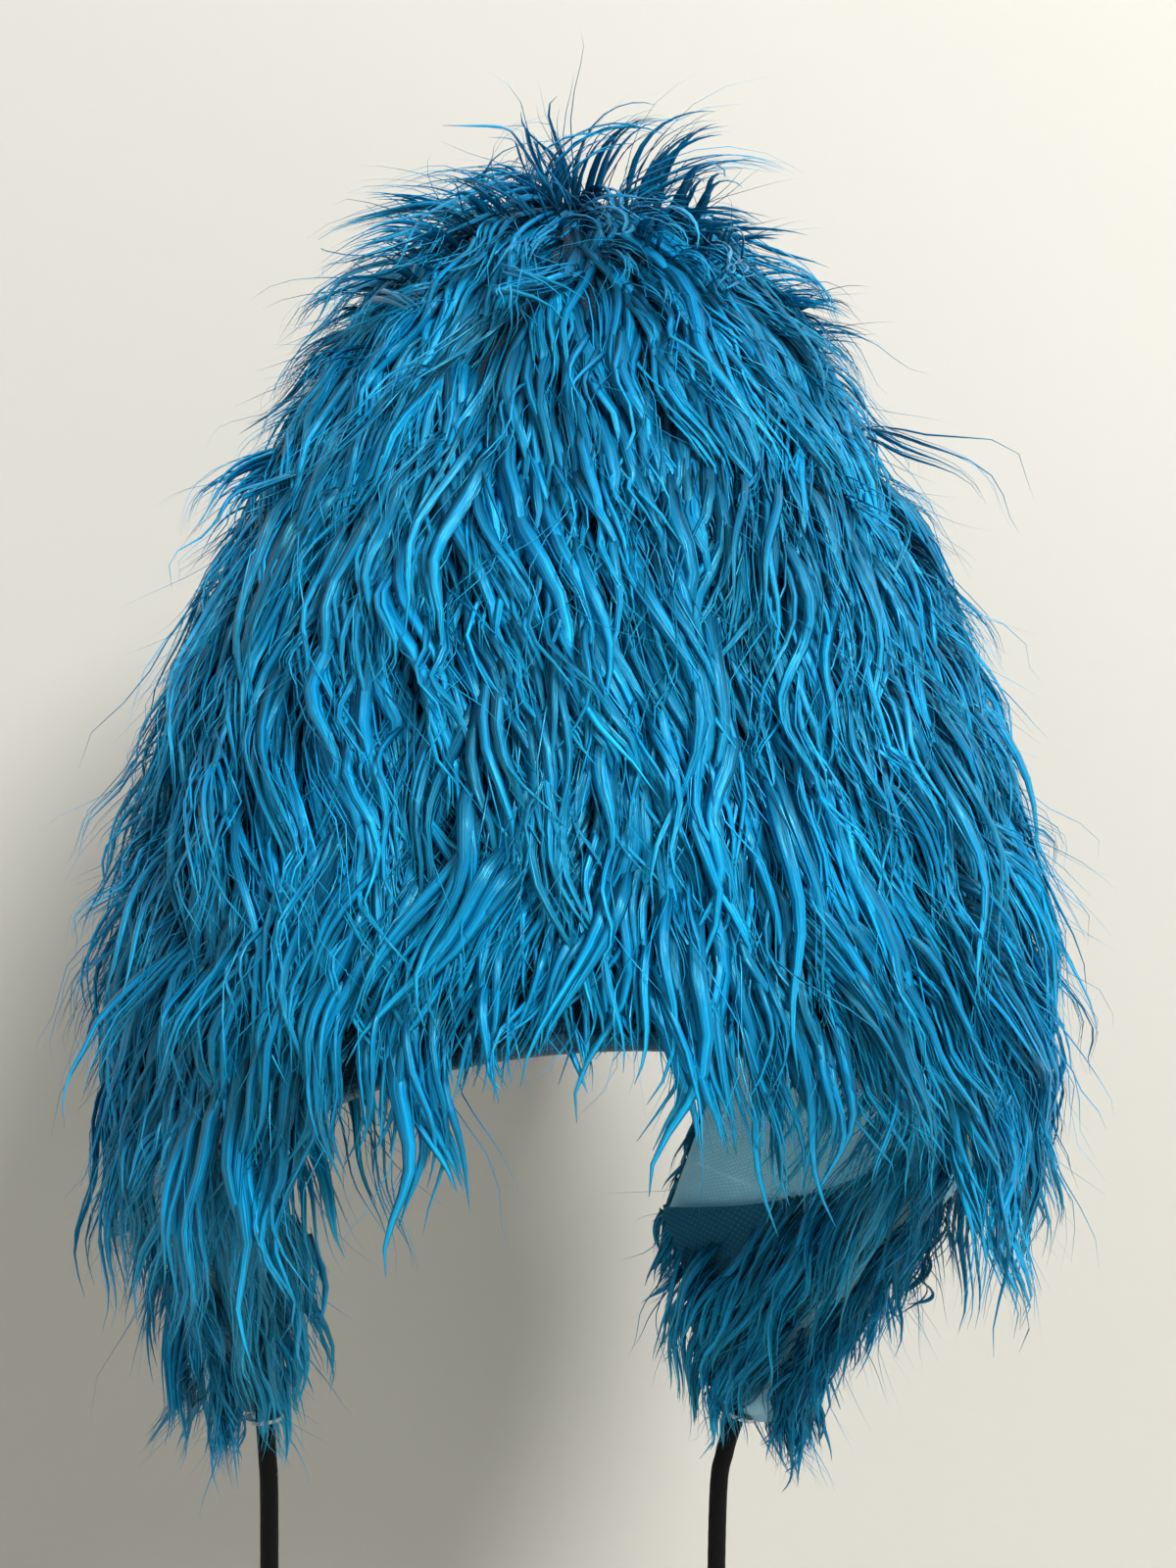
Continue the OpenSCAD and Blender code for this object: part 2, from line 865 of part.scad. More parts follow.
module flap_fur_left() flap_fur(flap_len_left, lean_left);
module flap_foam_left() flap_foam(flap_len_left, lean_left);
module flap_lining_left() flap_lining(flap_len_left, lean_left);
module flap_facing_left() flap_facing(flap_len_left, lean_left);
module tip_eyelet_left() tip_eyelet(flap_len_left, lean_left);
module flap_fur_right() right() flap_fur(flap_len_right, lean_right);
module flap_foam_right() right() flap_foam(flap_len_right, lean_right);
module flap_lining_right() right() flap_lining(flap_len_right, lean_right);
module flap_facing_right() right() flap_facing(flap_len_right, lean_right);
module tip_eyelet_right() right() tip_eyelet(flap_len_right, lean_right);

// ---- pull cords ----

module pull_cord(route) {
    color("black")
        tube(route, cord_d / 2, cord_step, [0, 1, 0]);
}

// Knot with a short tail, on the cord's last point
module pull_knot(route) {
    h = knot_r * 1.4;
    color("black")
        translate(route[len(route) - 1])
            rotate_extrude()
                polygon(concat([[0, 0]],
                    [for (i = [0:8]) let (a = 65 - i * 130 / 8)
                        [knot_r * cos(a), h / 2 * (sin(a) / sin(65) - 1)]],
                    [[cord_d / 2, -h], [cord_d / 2 + 1, -h - knot_tail], [0, -h - knot_tail]]));
}

module pull_cord_left() pull_cord(hang_left);
module pull_knot_left() pull_knot(hang_left);
module pull_cord_right() pull_cord(hang_right);
module pull_knot_right() pull_knot(hang_right);

lining();
foam_back_left();
foam_back_right();
foam_front_left();
foam_front_right();
fur_back_left();
fur_back_right();
fur_front_left();
fur_front_right();
sweatband();
back_hem();
front_hem();
face_plate();
palate_board();
palate_lining();
muzzle_foam();
muzzle_fur();
tooth_left();
tooth_right();
nose();
nose_washer();
eye_left();
eye_right();
eye_washer_left();
eye_washer_right();
hinge_pin();
jaw_spring();
rim_eyelet_left();
rim_eyelet_right();
inner_cord_left();
inner_cord_right();
jaw_board();
jaw_lining();
tongue();
chin_foam();
chin_fur();
flap_fur_left();
flap_foam_left();
flap_lining_left();
flap_facing_left();
tip_eyelet_left();
flap_fur_right();
flap_foam_right();
flap_lining_right();
flap_facing_right();
tip_eyelet_right();
pull_cord_left();
pull_knot_left();
pull_cord_right();
pull_knot_right();
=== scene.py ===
# Hat puppet with a moving mouth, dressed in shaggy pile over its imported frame.
import math
from functools import partial

import bmesh
import bpy
import numpy as np
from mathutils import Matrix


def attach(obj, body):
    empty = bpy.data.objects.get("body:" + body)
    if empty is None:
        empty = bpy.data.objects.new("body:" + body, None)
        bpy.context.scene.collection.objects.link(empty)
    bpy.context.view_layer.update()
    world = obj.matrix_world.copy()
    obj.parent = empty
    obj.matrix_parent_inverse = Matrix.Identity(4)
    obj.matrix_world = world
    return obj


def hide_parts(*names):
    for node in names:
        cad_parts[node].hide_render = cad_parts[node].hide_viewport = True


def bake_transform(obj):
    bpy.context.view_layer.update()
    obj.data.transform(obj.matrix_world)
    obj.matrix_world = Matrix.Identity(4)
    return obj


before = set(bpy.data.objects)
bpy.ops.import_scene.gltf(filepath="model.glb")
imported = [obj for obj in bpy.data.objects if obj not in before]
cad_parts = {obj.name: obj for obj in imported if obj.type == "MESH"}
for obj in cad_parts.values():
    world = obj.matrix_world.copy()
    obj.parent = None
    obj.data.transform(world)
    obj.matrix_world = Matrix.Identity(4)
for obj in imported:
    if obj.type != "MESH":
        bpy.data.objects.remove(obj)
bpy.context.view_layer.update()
dice = np.random.default_rng(41)
scene = bpy.context.scene
scene.view_settings.view_transform = "Standard"
mm = 0.001

# the camera stands level behind the hat
view = {"position": (0.039, 0.448, 0.053), "lens": 41.13, "sensor": 36, "shift": 0.00625}
cameraData = bpy.data.cameras.new("camera")
cameraData.lens, cameraData.sensor_width, cameraData.shift_x = view["lens"], view["sensor"], view["shift"]
camera = bpy.data.objects.new("camera", cameraData)
scene.collection.objects.link(camera)
camera.location = view["position"]
camera.rotation_euler = (math.pi / 2, 0, math.pi - math.atan2(*view["position"][:2]))
scene.camera = camera


def unit(v):
    # each vector over its own length
    return v / np.maximum(np.linalg.norm(v, axis=-1, keepdims=True), 1e-12)


def stack(*parts):
    # arrays side by side in a new last axis, each spread to their common shape
    return np.stack(np.broadcast_arrays(*parts), -1)


def runAlong(points):
    # the distance from the first row to each row
    return np.concatenate([[0], np.cumsum(np.linalg.norm(np.diff(points, axis=0), axis=1))])


def buildMesh(name, points, faceLists):
    # faceLists holds index arrays, one for each number of corners
    mesh = bpy.data.meshes.new(name)
    corners = np.concatenate([f.reshape(-1) for f in faceLists])
    sizes = np.concatenate([np.full(len(f), f.shape[1]) for f in faceLists])
    starts = np.concatenate([[0], np.cumsum(sizes)[:-1]])
    mesh.vertices.add(len(points))
    mesh.vertices.foreach_set("co", np.ascontiguousarray(points, dtype=np.float32).reshape(-1))
    mesh.loops.add(len(corners))
    mesh.loops.foreach_set("vertex_index", corners.astype(np.int32))
    mesh.polygons.add(len(sizes))
    mesh.polygons.foreach_set("loop_start", starts.astype(np.int32))
    mesh.polygons.foreach_set("use_smooth", np.ones(len(sizes), dtype=bool))
    mesh.update(calc_edges=True)
    return mesh


def giveUv(mesh, name, values):
    layer = mesh.uv_layers.new(name=name)
    layer.data.foreach_set("uv", np.ascontiguousarray(values, dtype=np.float32).reshape(-1))


def gridFaces(rows, cols, closed=True):
    # quads between neighbouring rows and columns
    i = np.arange(rows - 1)[:, None] * cols
    j = np.arange(cols if closed else cols - 1)[None, :]
    k = (j + 1) % cols
    return stack(i + j, i + k, i + cols + k, i + cols + j).reshape(-1, 4)


def gridPlaces(faces, cols, closed=True):
    # row and column of each corner; a closed row ends one column past its last
    row, col = faces // cols, faces % cols
    if closed:
        col = np.where((col == 0) & (col.max(axis=1, keepdims=True) == cols - 1), cols, col)
    return row, col


def endCaps(rows, cols):
    # fans that close both ends of a tube, about two more points
    first, total = np.arange(cols), rows * cols
    last = first + total - cols
    return np.concatenate([stack(np.roll(first, -1), first, total), stack(last, np.roll(last, -1), total + 1)])


def finishPiece(name, mesh, material, body, slot, nodes=(), gap=1e-6):
    # merges what meets at poles and seams, turns the whole closed surface outwards, and hangs it on its body
    if gap:
        work = bmesh.new()
        work.from_mesh(mesh)
        bmesh.ops.remove_doubles(work, verts=work.verts, dist=gap)
        bmesh.ops.dissolve_degenerate(work, edges=work.edges, dist=1e-9)
        if work.calc_volume(signed=True) < 0:
            bmesh.ops.reverse_faces(work, faces=work.faces)
        work.to_mesh(mesh)
        work.free()
        mesh.update()
    piece = bpy.data.objects.new(name, mesh)
    scene.collection.objects.link(piece)
    mesh.materials.append(material)
    if body:
        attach(piece, body)
    if nodes:
        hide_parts(*nodes)
    return piece


def shellPiece(name, outer, inner, closed, material, body, slot, nodes=(), metric=None):
    # two grids of points, stitched along their edges into one closed wall
    rows, cols = outer.shape[:2]
    count = rows * cols
    top = gridFaces(rows, cols, closed)
    if closed:
        first = np.arange(cols)
        edges = [(first, np.roll(first, -1)), (np.roll(first, -1) + count - cols, first + count - cols)]
    else:
        loop = np.concatenate([np.arange(cols), np.arange(2, rows + 1) * cols - 1,
                               count - 2 - np.arange(cols - 1), (rows - 2 - np.arange(rows - 2)) * cols])
        edges = [(loop, np.roll(loop, -1))]
    rims = [stack(b, a, a + count, b + count) for a, b in edges]
    faces = np.concatenate([top, top[:, ::-1] + count] + rims)
    mesh = buildMesh(name, np.concatenate([outer.reshape(-1, 3), inner.reshape(-1, 3)]), [faces])
    # cloth coordinates in metres: across and along the outer grid
    if metric is None:
        stepU = np.linalg.norm(np.diff(outer, axis=1), axis=-1).mean() * np.arange(cols + 1)
        stepV = np.linalg.norm(np.diff(outer, axis=0), axis=-1).mean() * np.arange(rows)
        metric = stack(stepU[None, :], stepV[:, None])
    row, col = gridPlaces(faces % count, cols, closed)
    giveUv(mesh, "weave", metric[row, np.minimum(col, metric.shape[1] - 1)])
    return finishPiece(name, mesh, material, body, slot, nodes)


def revolvedPiece(name, profile, cols, place, material, body, slot, nodes=(), shape=None):
    # profile of (radius, height) turned about place's axis; both ends lie on the axis
    origin, axis, across = place
    angle = 2 * np.pi * np.arange(cols) / cols
    radius = profile[:, :1]
    x, y = radius * np.cos(angle), radius * np.sin(angle)
    z = np.broadcast_to(profile[:, 1:], x.shape)
    if shape:
        x, y, z = shape(x, y, z)
    points = origin + x[..., None] * across + y[..., None] * np.cross(axis, across) + z[..., None] * axis
    faces = gridFaces(len(profile), cols)
    mesh = buildMesh(name, points.reshape(-1, 3), [faces])
    row, col = gridPlaces(faces, cols)
    giveUv(mesh, "turned", stack(col / cols, profile[row, 0] / profile[:, 0].max()))
    return finishPiece(name, mesh, material, body, slot, nodes)


def smoothPath(route, count):
    # Catmull-Rom curve through the route, cut into equal lengths
    p = np.asarray(route, dtype=float)
    before, after = np.vstack([p[:1], p[:-1]]), np.vstack([p[1:], p[-1:]])
    a, b, c, d = (v[:, None, :] for v in (before[:-1], p[:-1], p[1:], after[1:]))
    t = np.linspace(0, 1, 40, endpoint=False)[None, :, None]
    line = 0.5 * (2 * b + (c - a) * t + (2 * a - 5 * b + 4 * c - d) * t**2 + (3 * b - a - 3 * c + d) * t**3)
    line = np.vstack([line.reshape(-1, 3), p[-1:]])
    run = runAlong(line)
    at = np.linspace(0, run[-1], count)
    return np.stack([np.interp(at, run, line[:, i]) for i in range(3)], -1), run[-1]


def tubePiece(name, path, radius, around, side, material, body, slot, nodes=(), braid=0.0):
    # circles carried along the path; a braid lifts two crossing sets of yarns on the circle's radius
    rows = len(path)
    tangent = unit(np.gradient(path, axis=0))
    u = unit(np.cross(np.broadcast_to(side, tangent.shape), tangent))
    v = np.cross(tangent, u)
    run = runAlong(path)[:, None]
    angle = 2 * np.pi * np.arange(around)[None, :] / around
    turn = run / (radius * 2.4)
    yarns = np.maximum(np.abs(np.sin(4 * angle + turn * 2)), np.abs(np.sin(4 * angle - turn * 2)))
    r = np.broadcast_to(radius, (rows, around)) * (1 - braid + braid * yarns)
    points = path[:, None, :] + r[..., None] * (np.cos(angle)[..., None] * u[:, None]
                                                + np.sin(angle)[..., None] * v[:, None])
    faces, caps = gridFaces(rows, around), endCaps(rows, around)
    mesh = buildMesh(name, np.concatenate([points.reshape(-1, 3), path[[0, -1]]]), [faces, caps])
    row, col = gridPlaces(faces, around)
    sides = stack(col / around, run[row, 0] / (2 * np.pi * radius)).reshape(-1, 2)
    giveUv(mesh, "yarn", np.concatenate([sides, np.zeros((caps.size, 2))]))
    return finishPiece(name, mesh, material, body, slot, nodes, 1e-7)


def slabPiece(name, outline, centre, low, high, material, body, slot, nodes=(), bend=None):
    # outline drawn in towards its centre over the top and the bottom, so that its rim is round
    inset = np.array([0.0, 0.35, 0.7, 0.9, 0.965, 0.992, 1.0, 0.992, 0.965, 0.9, 0.7, 0.35, 0.0])[:, None]
    height = np.array([0, 0, 0, 0, 0.08, 0.25, 0.5, 0.75, 0.92, 1, 1, 1, 1.0])[:, None]
    flat = centre + inset[..., None] * (outline - centre)[None]
    z = np.broadcast_to(low + (high - low) * height, flat.shape[:2])
    points = np.concatenate([flat, z[..., None]], -1)
    if bend:
        points = bend(points, np.broadcast_to(inset, flat.shape[:2]), height)
    faces = gridFaces(len(inset), len(outline))
    mesh = buildMesh(name, points.reshape(-1, 3), [faces])
    giveUv(mesh, "weave", points.reshape(-1, 3)[faces.reshape(-1)][:, :2])
    return finishPiece(name, mesh, material, body, slot, nodes)


def hexColour(code):
    # sRGB hex to linear
    c = np.array([int(code[i:i + 2], 16) / 255 for i in (1, 3, 5)])
    return (*np.where(c <= 0.04045, c / 12.92, ((c + 0.055) / 1.055) ** 2.4).tolist(), 1.0)


def feed(node, inputs):
    # each input, by its name or its place, takes a value or the socket that drives it
    for key, value in inputs.items() if isinstance(inputs, dict) else enumerate(inputs):
        if isinstance(value, bpy.types.NodeSocket):
            node.id_data.links.new(value, node.inputs[key])
        else:
            node.inputs[key].default_value = value


def addNode(tree, kind, inputs=(), out=0, stops=(), **settings):
    # makes a node with its settings, inputs and colour stops, and gives the output that is asked for
    node = tree.nodes.new("ShaderNode" + kind)
    for key, value in settings.items():
        setattr(node, key, value)
    for number, (place, colour) in enumerate(stops):
        band = node.color_ramp.elements
        if number >= len(band):
            band.new(place)
        band[number].position, band[number].color = place, hexColour(colour)
    feed(node, inputs)
    return node.outputs[out]


def newMaterial(name, shader):
    material = bpy.data.materials.new(name)
    material.use_nodes = True
    surface = material.node_tree.nodes["Principled BSDF"]
    feed(surface, shader)
    return material, partial(addNode, material.node_tree), surface


def pileMaterial(name, root, middle, tip):
    # modacrylic long pile: drawn, crimped fibres lying side by side, so fine lines run along each lock, darker in
    # their grooves as painted shade; the gloss spreads across it, and the colour darkens towards the roots as painted
    # shade deep in the pile
    material, add, surface = newMaterial(name, {"Roughness": 0.30, "IOR": 1.5, "Specular IOR Level": 0.85,
                                                 "Anisotropic": 0.7, "Specular Tint": (0.16, 0.80, 1.0, 1.0)})
    contrast = 0.9
    along = add("Attribute", out="Fac", attribute_name="along")
    shade = add("Attribute", out="Fac", attribute_name="shade")
    fibre = add("Attribute", out="Vector", attribute_name="fibre")
    drawn = add("Mapping", {"Vector": fibre, "Scale": (1700.0, 22.0, 900.0)})
    lines = add("TexNoise", {"Vector": drawn, "Scale": 1.0, "Detail": 3.0, "Roughness": 0.65})
    broad = add("Mapping", {"Vector": fibre, "Scale": (700.0, 16.0, 500.0)})
    streaks = add("TexNoise", {"Vector": broad, "Scale": 1.0, "Detail": 1.0})
    place = add("TexCoord", out="Object")
    patches = add("TexNoise", {"Vector": place, "Scale": 16.0, "Detail": 2.0})
    # dark roots to light tips: painted shade deep in the pile
    colour = add("ValToRGB", (along,), stops=((0.0, root), (0.42, middle), (1.0, tip)))
    tones = add("Math", (shade, contrast), operation="MULTIPLY")
    clouds = add("Math", (patches, 0.5), operation="MULTIPLY")
    both = add("Math", (tones, clouds), operation="ADD")
    level = add("Math", (both, 0.75 - contrast / 2), operation="ADD")
    # fine fibre lines, darker where the same lines make the bump low: partly fibre tone, partly painted shade in the
    # grooves
    grooves = add("Math", (lines, 3.6, -0.8), operation="MULTIPLY_ADD")
    shallow = add("Math", (grooves, 0.3), operation="MAXIMUM")
    lined = add("Math", (level, shallow), operation="MULTIPLY")
    bands = add("Math", (streaks, 0.8, 0.6), operation="MULTIPLY_ADD")
    tone = add("Math", (lined, bands), operation="MULTIPLY")
    feed(surface, {"Tangent": add("Tangent", direction_type="UV_MAP", uv_map="OFBake"),
                   "Base Color": add("VectorMath", {0: colour, "Scale": tone}, operation="SCALE"),
                   "Normal": add("Bump", {"Strength": 0.8, "Distance": 0.0008, "Height": lines})})
    return material


def wovenMaterial(name, colour, dark, pitch, roughness, sheen, slant=0.0):
    # two crossing sets of threads, pitch apart, drawn on the cloth's own coordinates in metres
    material, add, surface = newMaterial(name, {"Roughness": roughness, "Sheen Weight": sheen,
                                                 "Sheen Roughness": 0.4, "Specular IOR Level": 0.3})
    weave = {"depth": 0.00024, "blotch": 0.25}
    cloth = add("UVMap", uv_map="weave")
    turned = add("Mapping", {"Vector": cloth, "Rotation": (0, 0, slant)})
    threads = {"Vector": turned, "Scale": 0.314 / pitch, "Distortion": 0.6, "Detail": 1.0, "Detail Scale": 2.0}
    crossing = [add("TexWave", threads, "Fac", wave_type="BANDS", bands_direction=way) for way in ("X", "Y")]
    thread = add("Math", crossing, operation="MULTIPLY")
    place = add("TexCoord", out="Object")
    worn = add("TexNoise", {"Vector": place, "Scale": 38.0, "Detail": 4.0})
    base = add("Mix", {0: thread, 6: hexColour(dark), 7: hexColour(colour)}, 2, data_type="RGBA")
    patches = add("Math", (worn, weave["blotch"] * 2, 1 - weave["blotch"]), operation="MULTIPLY_ADD")
    feed(surface, {"Base Color": add("VectorMath", {0: base, "Scale": patches}, operation="SCALE"),
                   "Normal": add("Bump", {"Strength": 0.6, "Distance": weave["depth"], "Height": thread})})
    return material


def feltMaterial(name, colour, dark):
    # pressed wool felt: no thread, only matted fibres and a soft sheen
    material, add, surface = newMaterial(name, {"Roughness": 0.95, "Sheen Weight": 0.35, "Sheen Roughness": 0.5,
                                                 "Specular IOR Level": 0.15})
    place = add("TexCoord", out="Object")
    fibres = add("TexNoise", {"Vector": place, "Scale": 900.0, "Detail": 5.0, "Roughness": 0.7,
                                        "Distortion": 1.4})
    clouds = add("TexNoise", {"Vector": place, "Scale": 70.0, "Detail": 3.0})
    both = add("Math", (fibres, clouds), operation="MULTIPLY")
    feed(surface, {"Base Color": add("ValToRGB", (both,), stops=((0.12, dark), (0.42, colour))),
                   "Normal": add("Bump", {"Strength": 0.7, "Distance": 0.0006, "Height": fibres})})
    return material


def hardMaterial(name, colour, spots, grain, depth, shader):
    # a hard surface: its grain is the height of fine noise, and spots is the dark of worn or oiled places
    material, add, surface = newMaterial(name, dict(shader, **{"Base Color": hexColour(colour)}))
    place = add("TexCoord", out="Object")
    fine = add("TexNoise", {"Vector": place, "Scale": grain, "Detail": 3.0})
    wide = add("TexNoise", {"Vector": place, "Scale": grain / 12, "Detail": 2.0})
    rough = add("Math", (wide, 0.2, shader["Roughness"] - 0.1), operation="MULTIPLY_ADD")
    feed(surface, {"Base Color": add("ValToRGB", (wide,), stops=((0.35, spots), (0.65, colour))),
                   "Roughness": rough,
                   "Normal": add("Bump", {"Strength": 0.4, "Distance": depth, "Height": fine})})
    return material


def cordMaterial():
    # braided polyester, dyed black: crossing filament yarns that catch a dull light
    material, add, surface = newMaterial("braidedPolyester", {"Roughness": 0.6, "Specular IOR Level": 0.12})
    yarn = add("UVMap", uv_map="yarn")
    slanted = add("Mapping", {"Vector": yarn, "Rotation": (0, 0, 0.78), "Scale": (9, 9, 1)})
    lines = add("TexWave", {"Vector": slanted, "Scale": 1.0, "Distortion": 0.4}, "Fac",
                    wave_type="BANDS", bands_direction="X")
    feed(surface, {"Base Color": add("ValToRGB", (lines,), stops=((0.2, "#020202"), (0.9, "#0b0b0d"))),
                   "Normal": add("Bump", {"Strength": 0.5, "Distance": 0.0002, "Height": lines})})
    return material


print("materials")
pile = pileMaterial("acrylicPile", "#023a56", "#037fb4", "#12a8dc")
# the crown's pile painted lighter: painted light that makes up for the shade on the flaps' inner side
facingPile = pileMaterial("facingPile", "#03547c", "#0a9ad0", "#2cc0ec")
# the knitted backing painted lighter: painted light that makes up for the shade on the flaps' inner side
facingBacking = wovenMaterial("facingBacking", "#1b7596", "#0f5570", 0.0012, 0.9, 0.3)
backing = wovenMaterial("knittedBacking", "#0a3f58", "#052a3d", 0.0012, 0.9, 0.3)
# the knit's pale colour is raised further as painted light, to make up for the shade inside the crown and the flaps
tricot = wovenMaterial("tricot", "#c4f0fc", "#98dcf4", 0.0009, 0.55, 0.5, slant=0.7)
bandCloth = wovenMaterial("twillTape", "#14566a", "#0a3644", 0.0011, 0.7, 0.3, slant=0.4)
hemCloth = wovenMaterial("bindingTape", "#17607a", "#0c4054", 0.0010, 0.7, 0.35)
throatFelt = feltMaterial("throatFelt", "#2c0a10", "#140406")
mouthFelt = feltMaterial("mouthFelt", "#8e1f28", "#4d0c12")
tongueFelt = feltMaterial("tongueFelt", "#e08a8c", "#b05458")
toothFelt = feltMaterial("toothFelt", "#f2efe2", "#cfc9b4")
mouldedBoard = hardMaterial("mouldedBoard", "#2d2f31", "#232527", 2200, 0.00008, {"Roughness": 0.55, "IOR": 1.53})
washerPlastic = hardMaterial("mouldedNylon", "#e9e8e2", "#d4d1c6", 1800, 0.00005, {"Roughness": 0.5, "IOR": 1.53})
springSteel = hardMaterial("drawnSteel", "#b9bcc0", "#8f9297", 3000, 0.00003, {"Metallic": 1.0, "Roughness": 0.32})
eyeletAlloy = hardMaterial("stampedAluminium", "#cfd2d6", "#a4a7ac", 2600, 0.00003,
                           {"Metallic": 1.0, "Roughness": 0.35})
cordBraid = cordMaterial()

print("cords")
cords = {
    "diameter": 0.005,
    "left": [(89.1, -45, -14), (85.2, -45, -70), (81.6, -45, -121), (80.9, -45, -131),
             (80.5, -45, -142), (80.5, -46, -190), (80, -46, -260), (80, -46, -330)],
    "right": [(-87.6, -45, -14), (-67.3, -45, -70), (-47.6, -45, -124), (-44.8, -45, -133),
              (-43, -45, -145), (-42.5, -46, -190), (-43, -46, -260), (-43, -46, -335)],
    "exitIndex": 2,
    "insideLength": 0.012,
    "inner": [(50.4, -114, -16), (55.4, -114, -16), (58.2, -112.6, -15.8), (59.4, -109.5, -15),
              (61, -98, -12.2), (62.8, -87, -9.5), (64.8, -77, -7), (74.2, -67, -7),
              (82.9, -56, -7), (87.6, -48.4, -7.4), (89.3, -45, -12)],
}
strandSection = np.array([[0.0, 0.6], [-0.87, -0.3], [0.87, -0.3]])
ribbonSection = np.array([[0.0, 0.46], [-1.0, 0.0], [0.0, -0.18], [1.0, 0.0]])


def strandMesh(name, lines, up, halfWidth, shade, section=strandSection, roll=None):
    # closed strands: lines is strands by rings by 3, and the section is swept along each at its own width
    count, rings = lines.shape[:2]
    corners = len(section)
    tangent = unit(np.gradient(lines, axis=1))
    side = unit(np.cross(tangent, up))
    lift = np.cross(side, tangent)
    if roll is not None:
        c, s = np.cos(roll)[..., None], np.sin(roll)[..., None]
        side, lift = c * side + s * lift, c * lift - s * side
    points = lines[:, :, None, :] + halfWidth[:, :, None, None] * (
        section[None, None, :, :1] * side[:, :, None, :] + section[None, None, :, 1:] * lift[:, :, None, :])
    strand = np.arange(count)[:, None, None] * rings * corners
    ring, j = np.arange(rings - 1)[None, :, None], np.arange(corners)[None, None, :]
    low = strand + ring * corners
    k = (j + 1) % corners
    quads = stack(low + j, low + corners + j, low + corners + k, low + k).reshape(-1, 4)
    base, order = strand[:, 0], np.arange(corners)[None, :]
    caps = np.concatenate([base + order, base + (rings - 1) * corners + order[:, ::-1]])
    mesh = buildMesh(name, points.reshape(-1, 3), [quads, caps])
    steps = np.cumsum(np.linalg.norm(np.diff(lines, axis=1), axis=-1), axis=1)
    length = np.concatenate([np.zeros((count, 1)), steps], axis=1)
    shape = (count, rings, corners)
    fibre = stack(section[None, None, :, 0] * halfWidth.max(axis=1)[:, None, None],
                  np.broadcast_to(length[:, :, None], shape), (np.arange(count) % 97)[:, None, None] * 0.013)
    for label, kind, key, values in (("along", "FLOAT", "value", np.linspace(0, 1, rings)[None, :, None]),
                                     ("shade", "FLOAT", "value", shade[:, None, None]),
                                     ("fibre", "FLOAT_VECTOR", "vector", fibre)):
        values = values if key == "vector" else np.broadcast_to(values, shape)
        layer = mesh.attributes.new(label, kind, "POINT")
        layer.data.foreach_set(key, np.ascontiguousarray(values, dtype=np.float32).reshape(-1))
    # one cell of the map for each strand
    across = int(math.ceil(math.sqrt(count * 1.6)))
    down = int(math.ceil(count / across))
    cellX, cellY = (v[:, None, None] for v in (np.arange(count) % across, np.arange(count) // across))
    u0, u1 = ((cellX + 0.08 + 0.84 * (j + end) / corners) / across for end in (0, 1))
    v0, v1 = ((cellY + 0.08 + 0.84 * (ring + end) / (rings - 1)) / down for end in (0, 1))
    u0, u1, v0, v1 = np.broadcast_arrays(u0, u1, v0, v1)
    sides = np.stack([stack(u0, v0), stack(u0, v1), stack(u1, v1), stack(u1, v0)], -2)
    cell = stack(cellX[:, 0, 0] / across, cellY[:, 0, 0] / down)
    turn = np.linspace(0, 2 * np.pi, corners, endpoint=False)
    corner = (0.03 + 0.02 * stack(np.cos(turn), np.sin(turn))) / np.array([across, down])
    ends = np.concatenate([cell[:, None] + corner, cell[:, None] + corner[::-1] + np.array([0.9 / across, 0])])
    giveUv(mesh, "OFBake", np.concatenate([sides.reshape(-1, 2), ends.reshape(-1, 2)]))
    return mesh


def knotPiece(name, top, body, node):
    # two wraps of the cord round itself, closed by a strand across them, then a tail that frays
    knot = {"wraps": 2.3, "wrapRadius": 4.5 * mm, "height": 10.2 * mm, "tail": 13 * mm, "threads": 90}
    turn = np.linspace(0, 1, 150)
    angle = 2 * np.pi * knot["wraps"] * turn
    swell = knot["wrapRadius"] * np.sin(np.pi * np.clip(turn * 1.06 - 0.03, 0.02, 0.98)) ** 0.3
    helix = stack(swell * np.cos(angle), swell * np.sin(angle), -knot["height"] * (0.2 + 0.62 * turn))
    across = stack(1.9 * mm + 3.6 * mm * np.sin(np.pi * turn), 2.2 * mm * np.cos(np.pi * turn),
                   -knot["height"] * (0.02 + 0.98 * turn))
    core = stack(0, 0, -(knot["height"] + 5 * mm) * turn)
    made = [tubePiece(f"{name}Strand{number}", top + line, 2.35 * mm, 20, side, cordBraid, None, "cord", (), 0.06)
            for number, (line, side) in enumerate(((helix, (0.1, 0.2, 1.0)), (across, (0, 1, 0)), (core, (0, 1, 0))))]
    # the frayed tail: threads leave the core's end and spread as they fall
    n = knot["threads"]
    t = np.linspace(0, 1, 7)[None, :, None]
    spot = dice.normal(0, 1, (n, 1, 2)) * 1.1 * mm
    spread = dice.normal(0, 1, (n, 1, 2)) * 2.4 * mm
    flat = spot + spread * t**1.6 + 0.5 * mm * np.sin(6 * t + dice.uniform(0, 6, (n, 1, 2)))
    drop = -(knot["height"] + 3.5 * mm) - (knot["tail"] - 4 * mm) * t * dice.uniform(0.8, 1.0, (n, 1, 1))
    lines = np.concatenate([flat, np.broadcast_to(drop, (n, 7, 1))], -1) + top
    tassel = strandMesh(f"{name}Tail", lines, np.broadcast_to(np.array([1.0, 0, 0]), lines.shape),
                        np.full(lines.shape[:2], 0.22 * mm), dice.uniform(0, 1, n))
    made.append(finishPiece(f"{name}Tail", tassel, cordBraid, None, "cord", gap=None))
    bpy.ops.object.select_all(action="DESELECT")
    for piece in made:
        piece.select_set(True)
    whole = made[0]
    bpy.context.view_layer.objects.active = whole
    bpy.ops.object.join()
    whole.name = name
    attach(whole, body)
    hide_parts(node)
    return whole


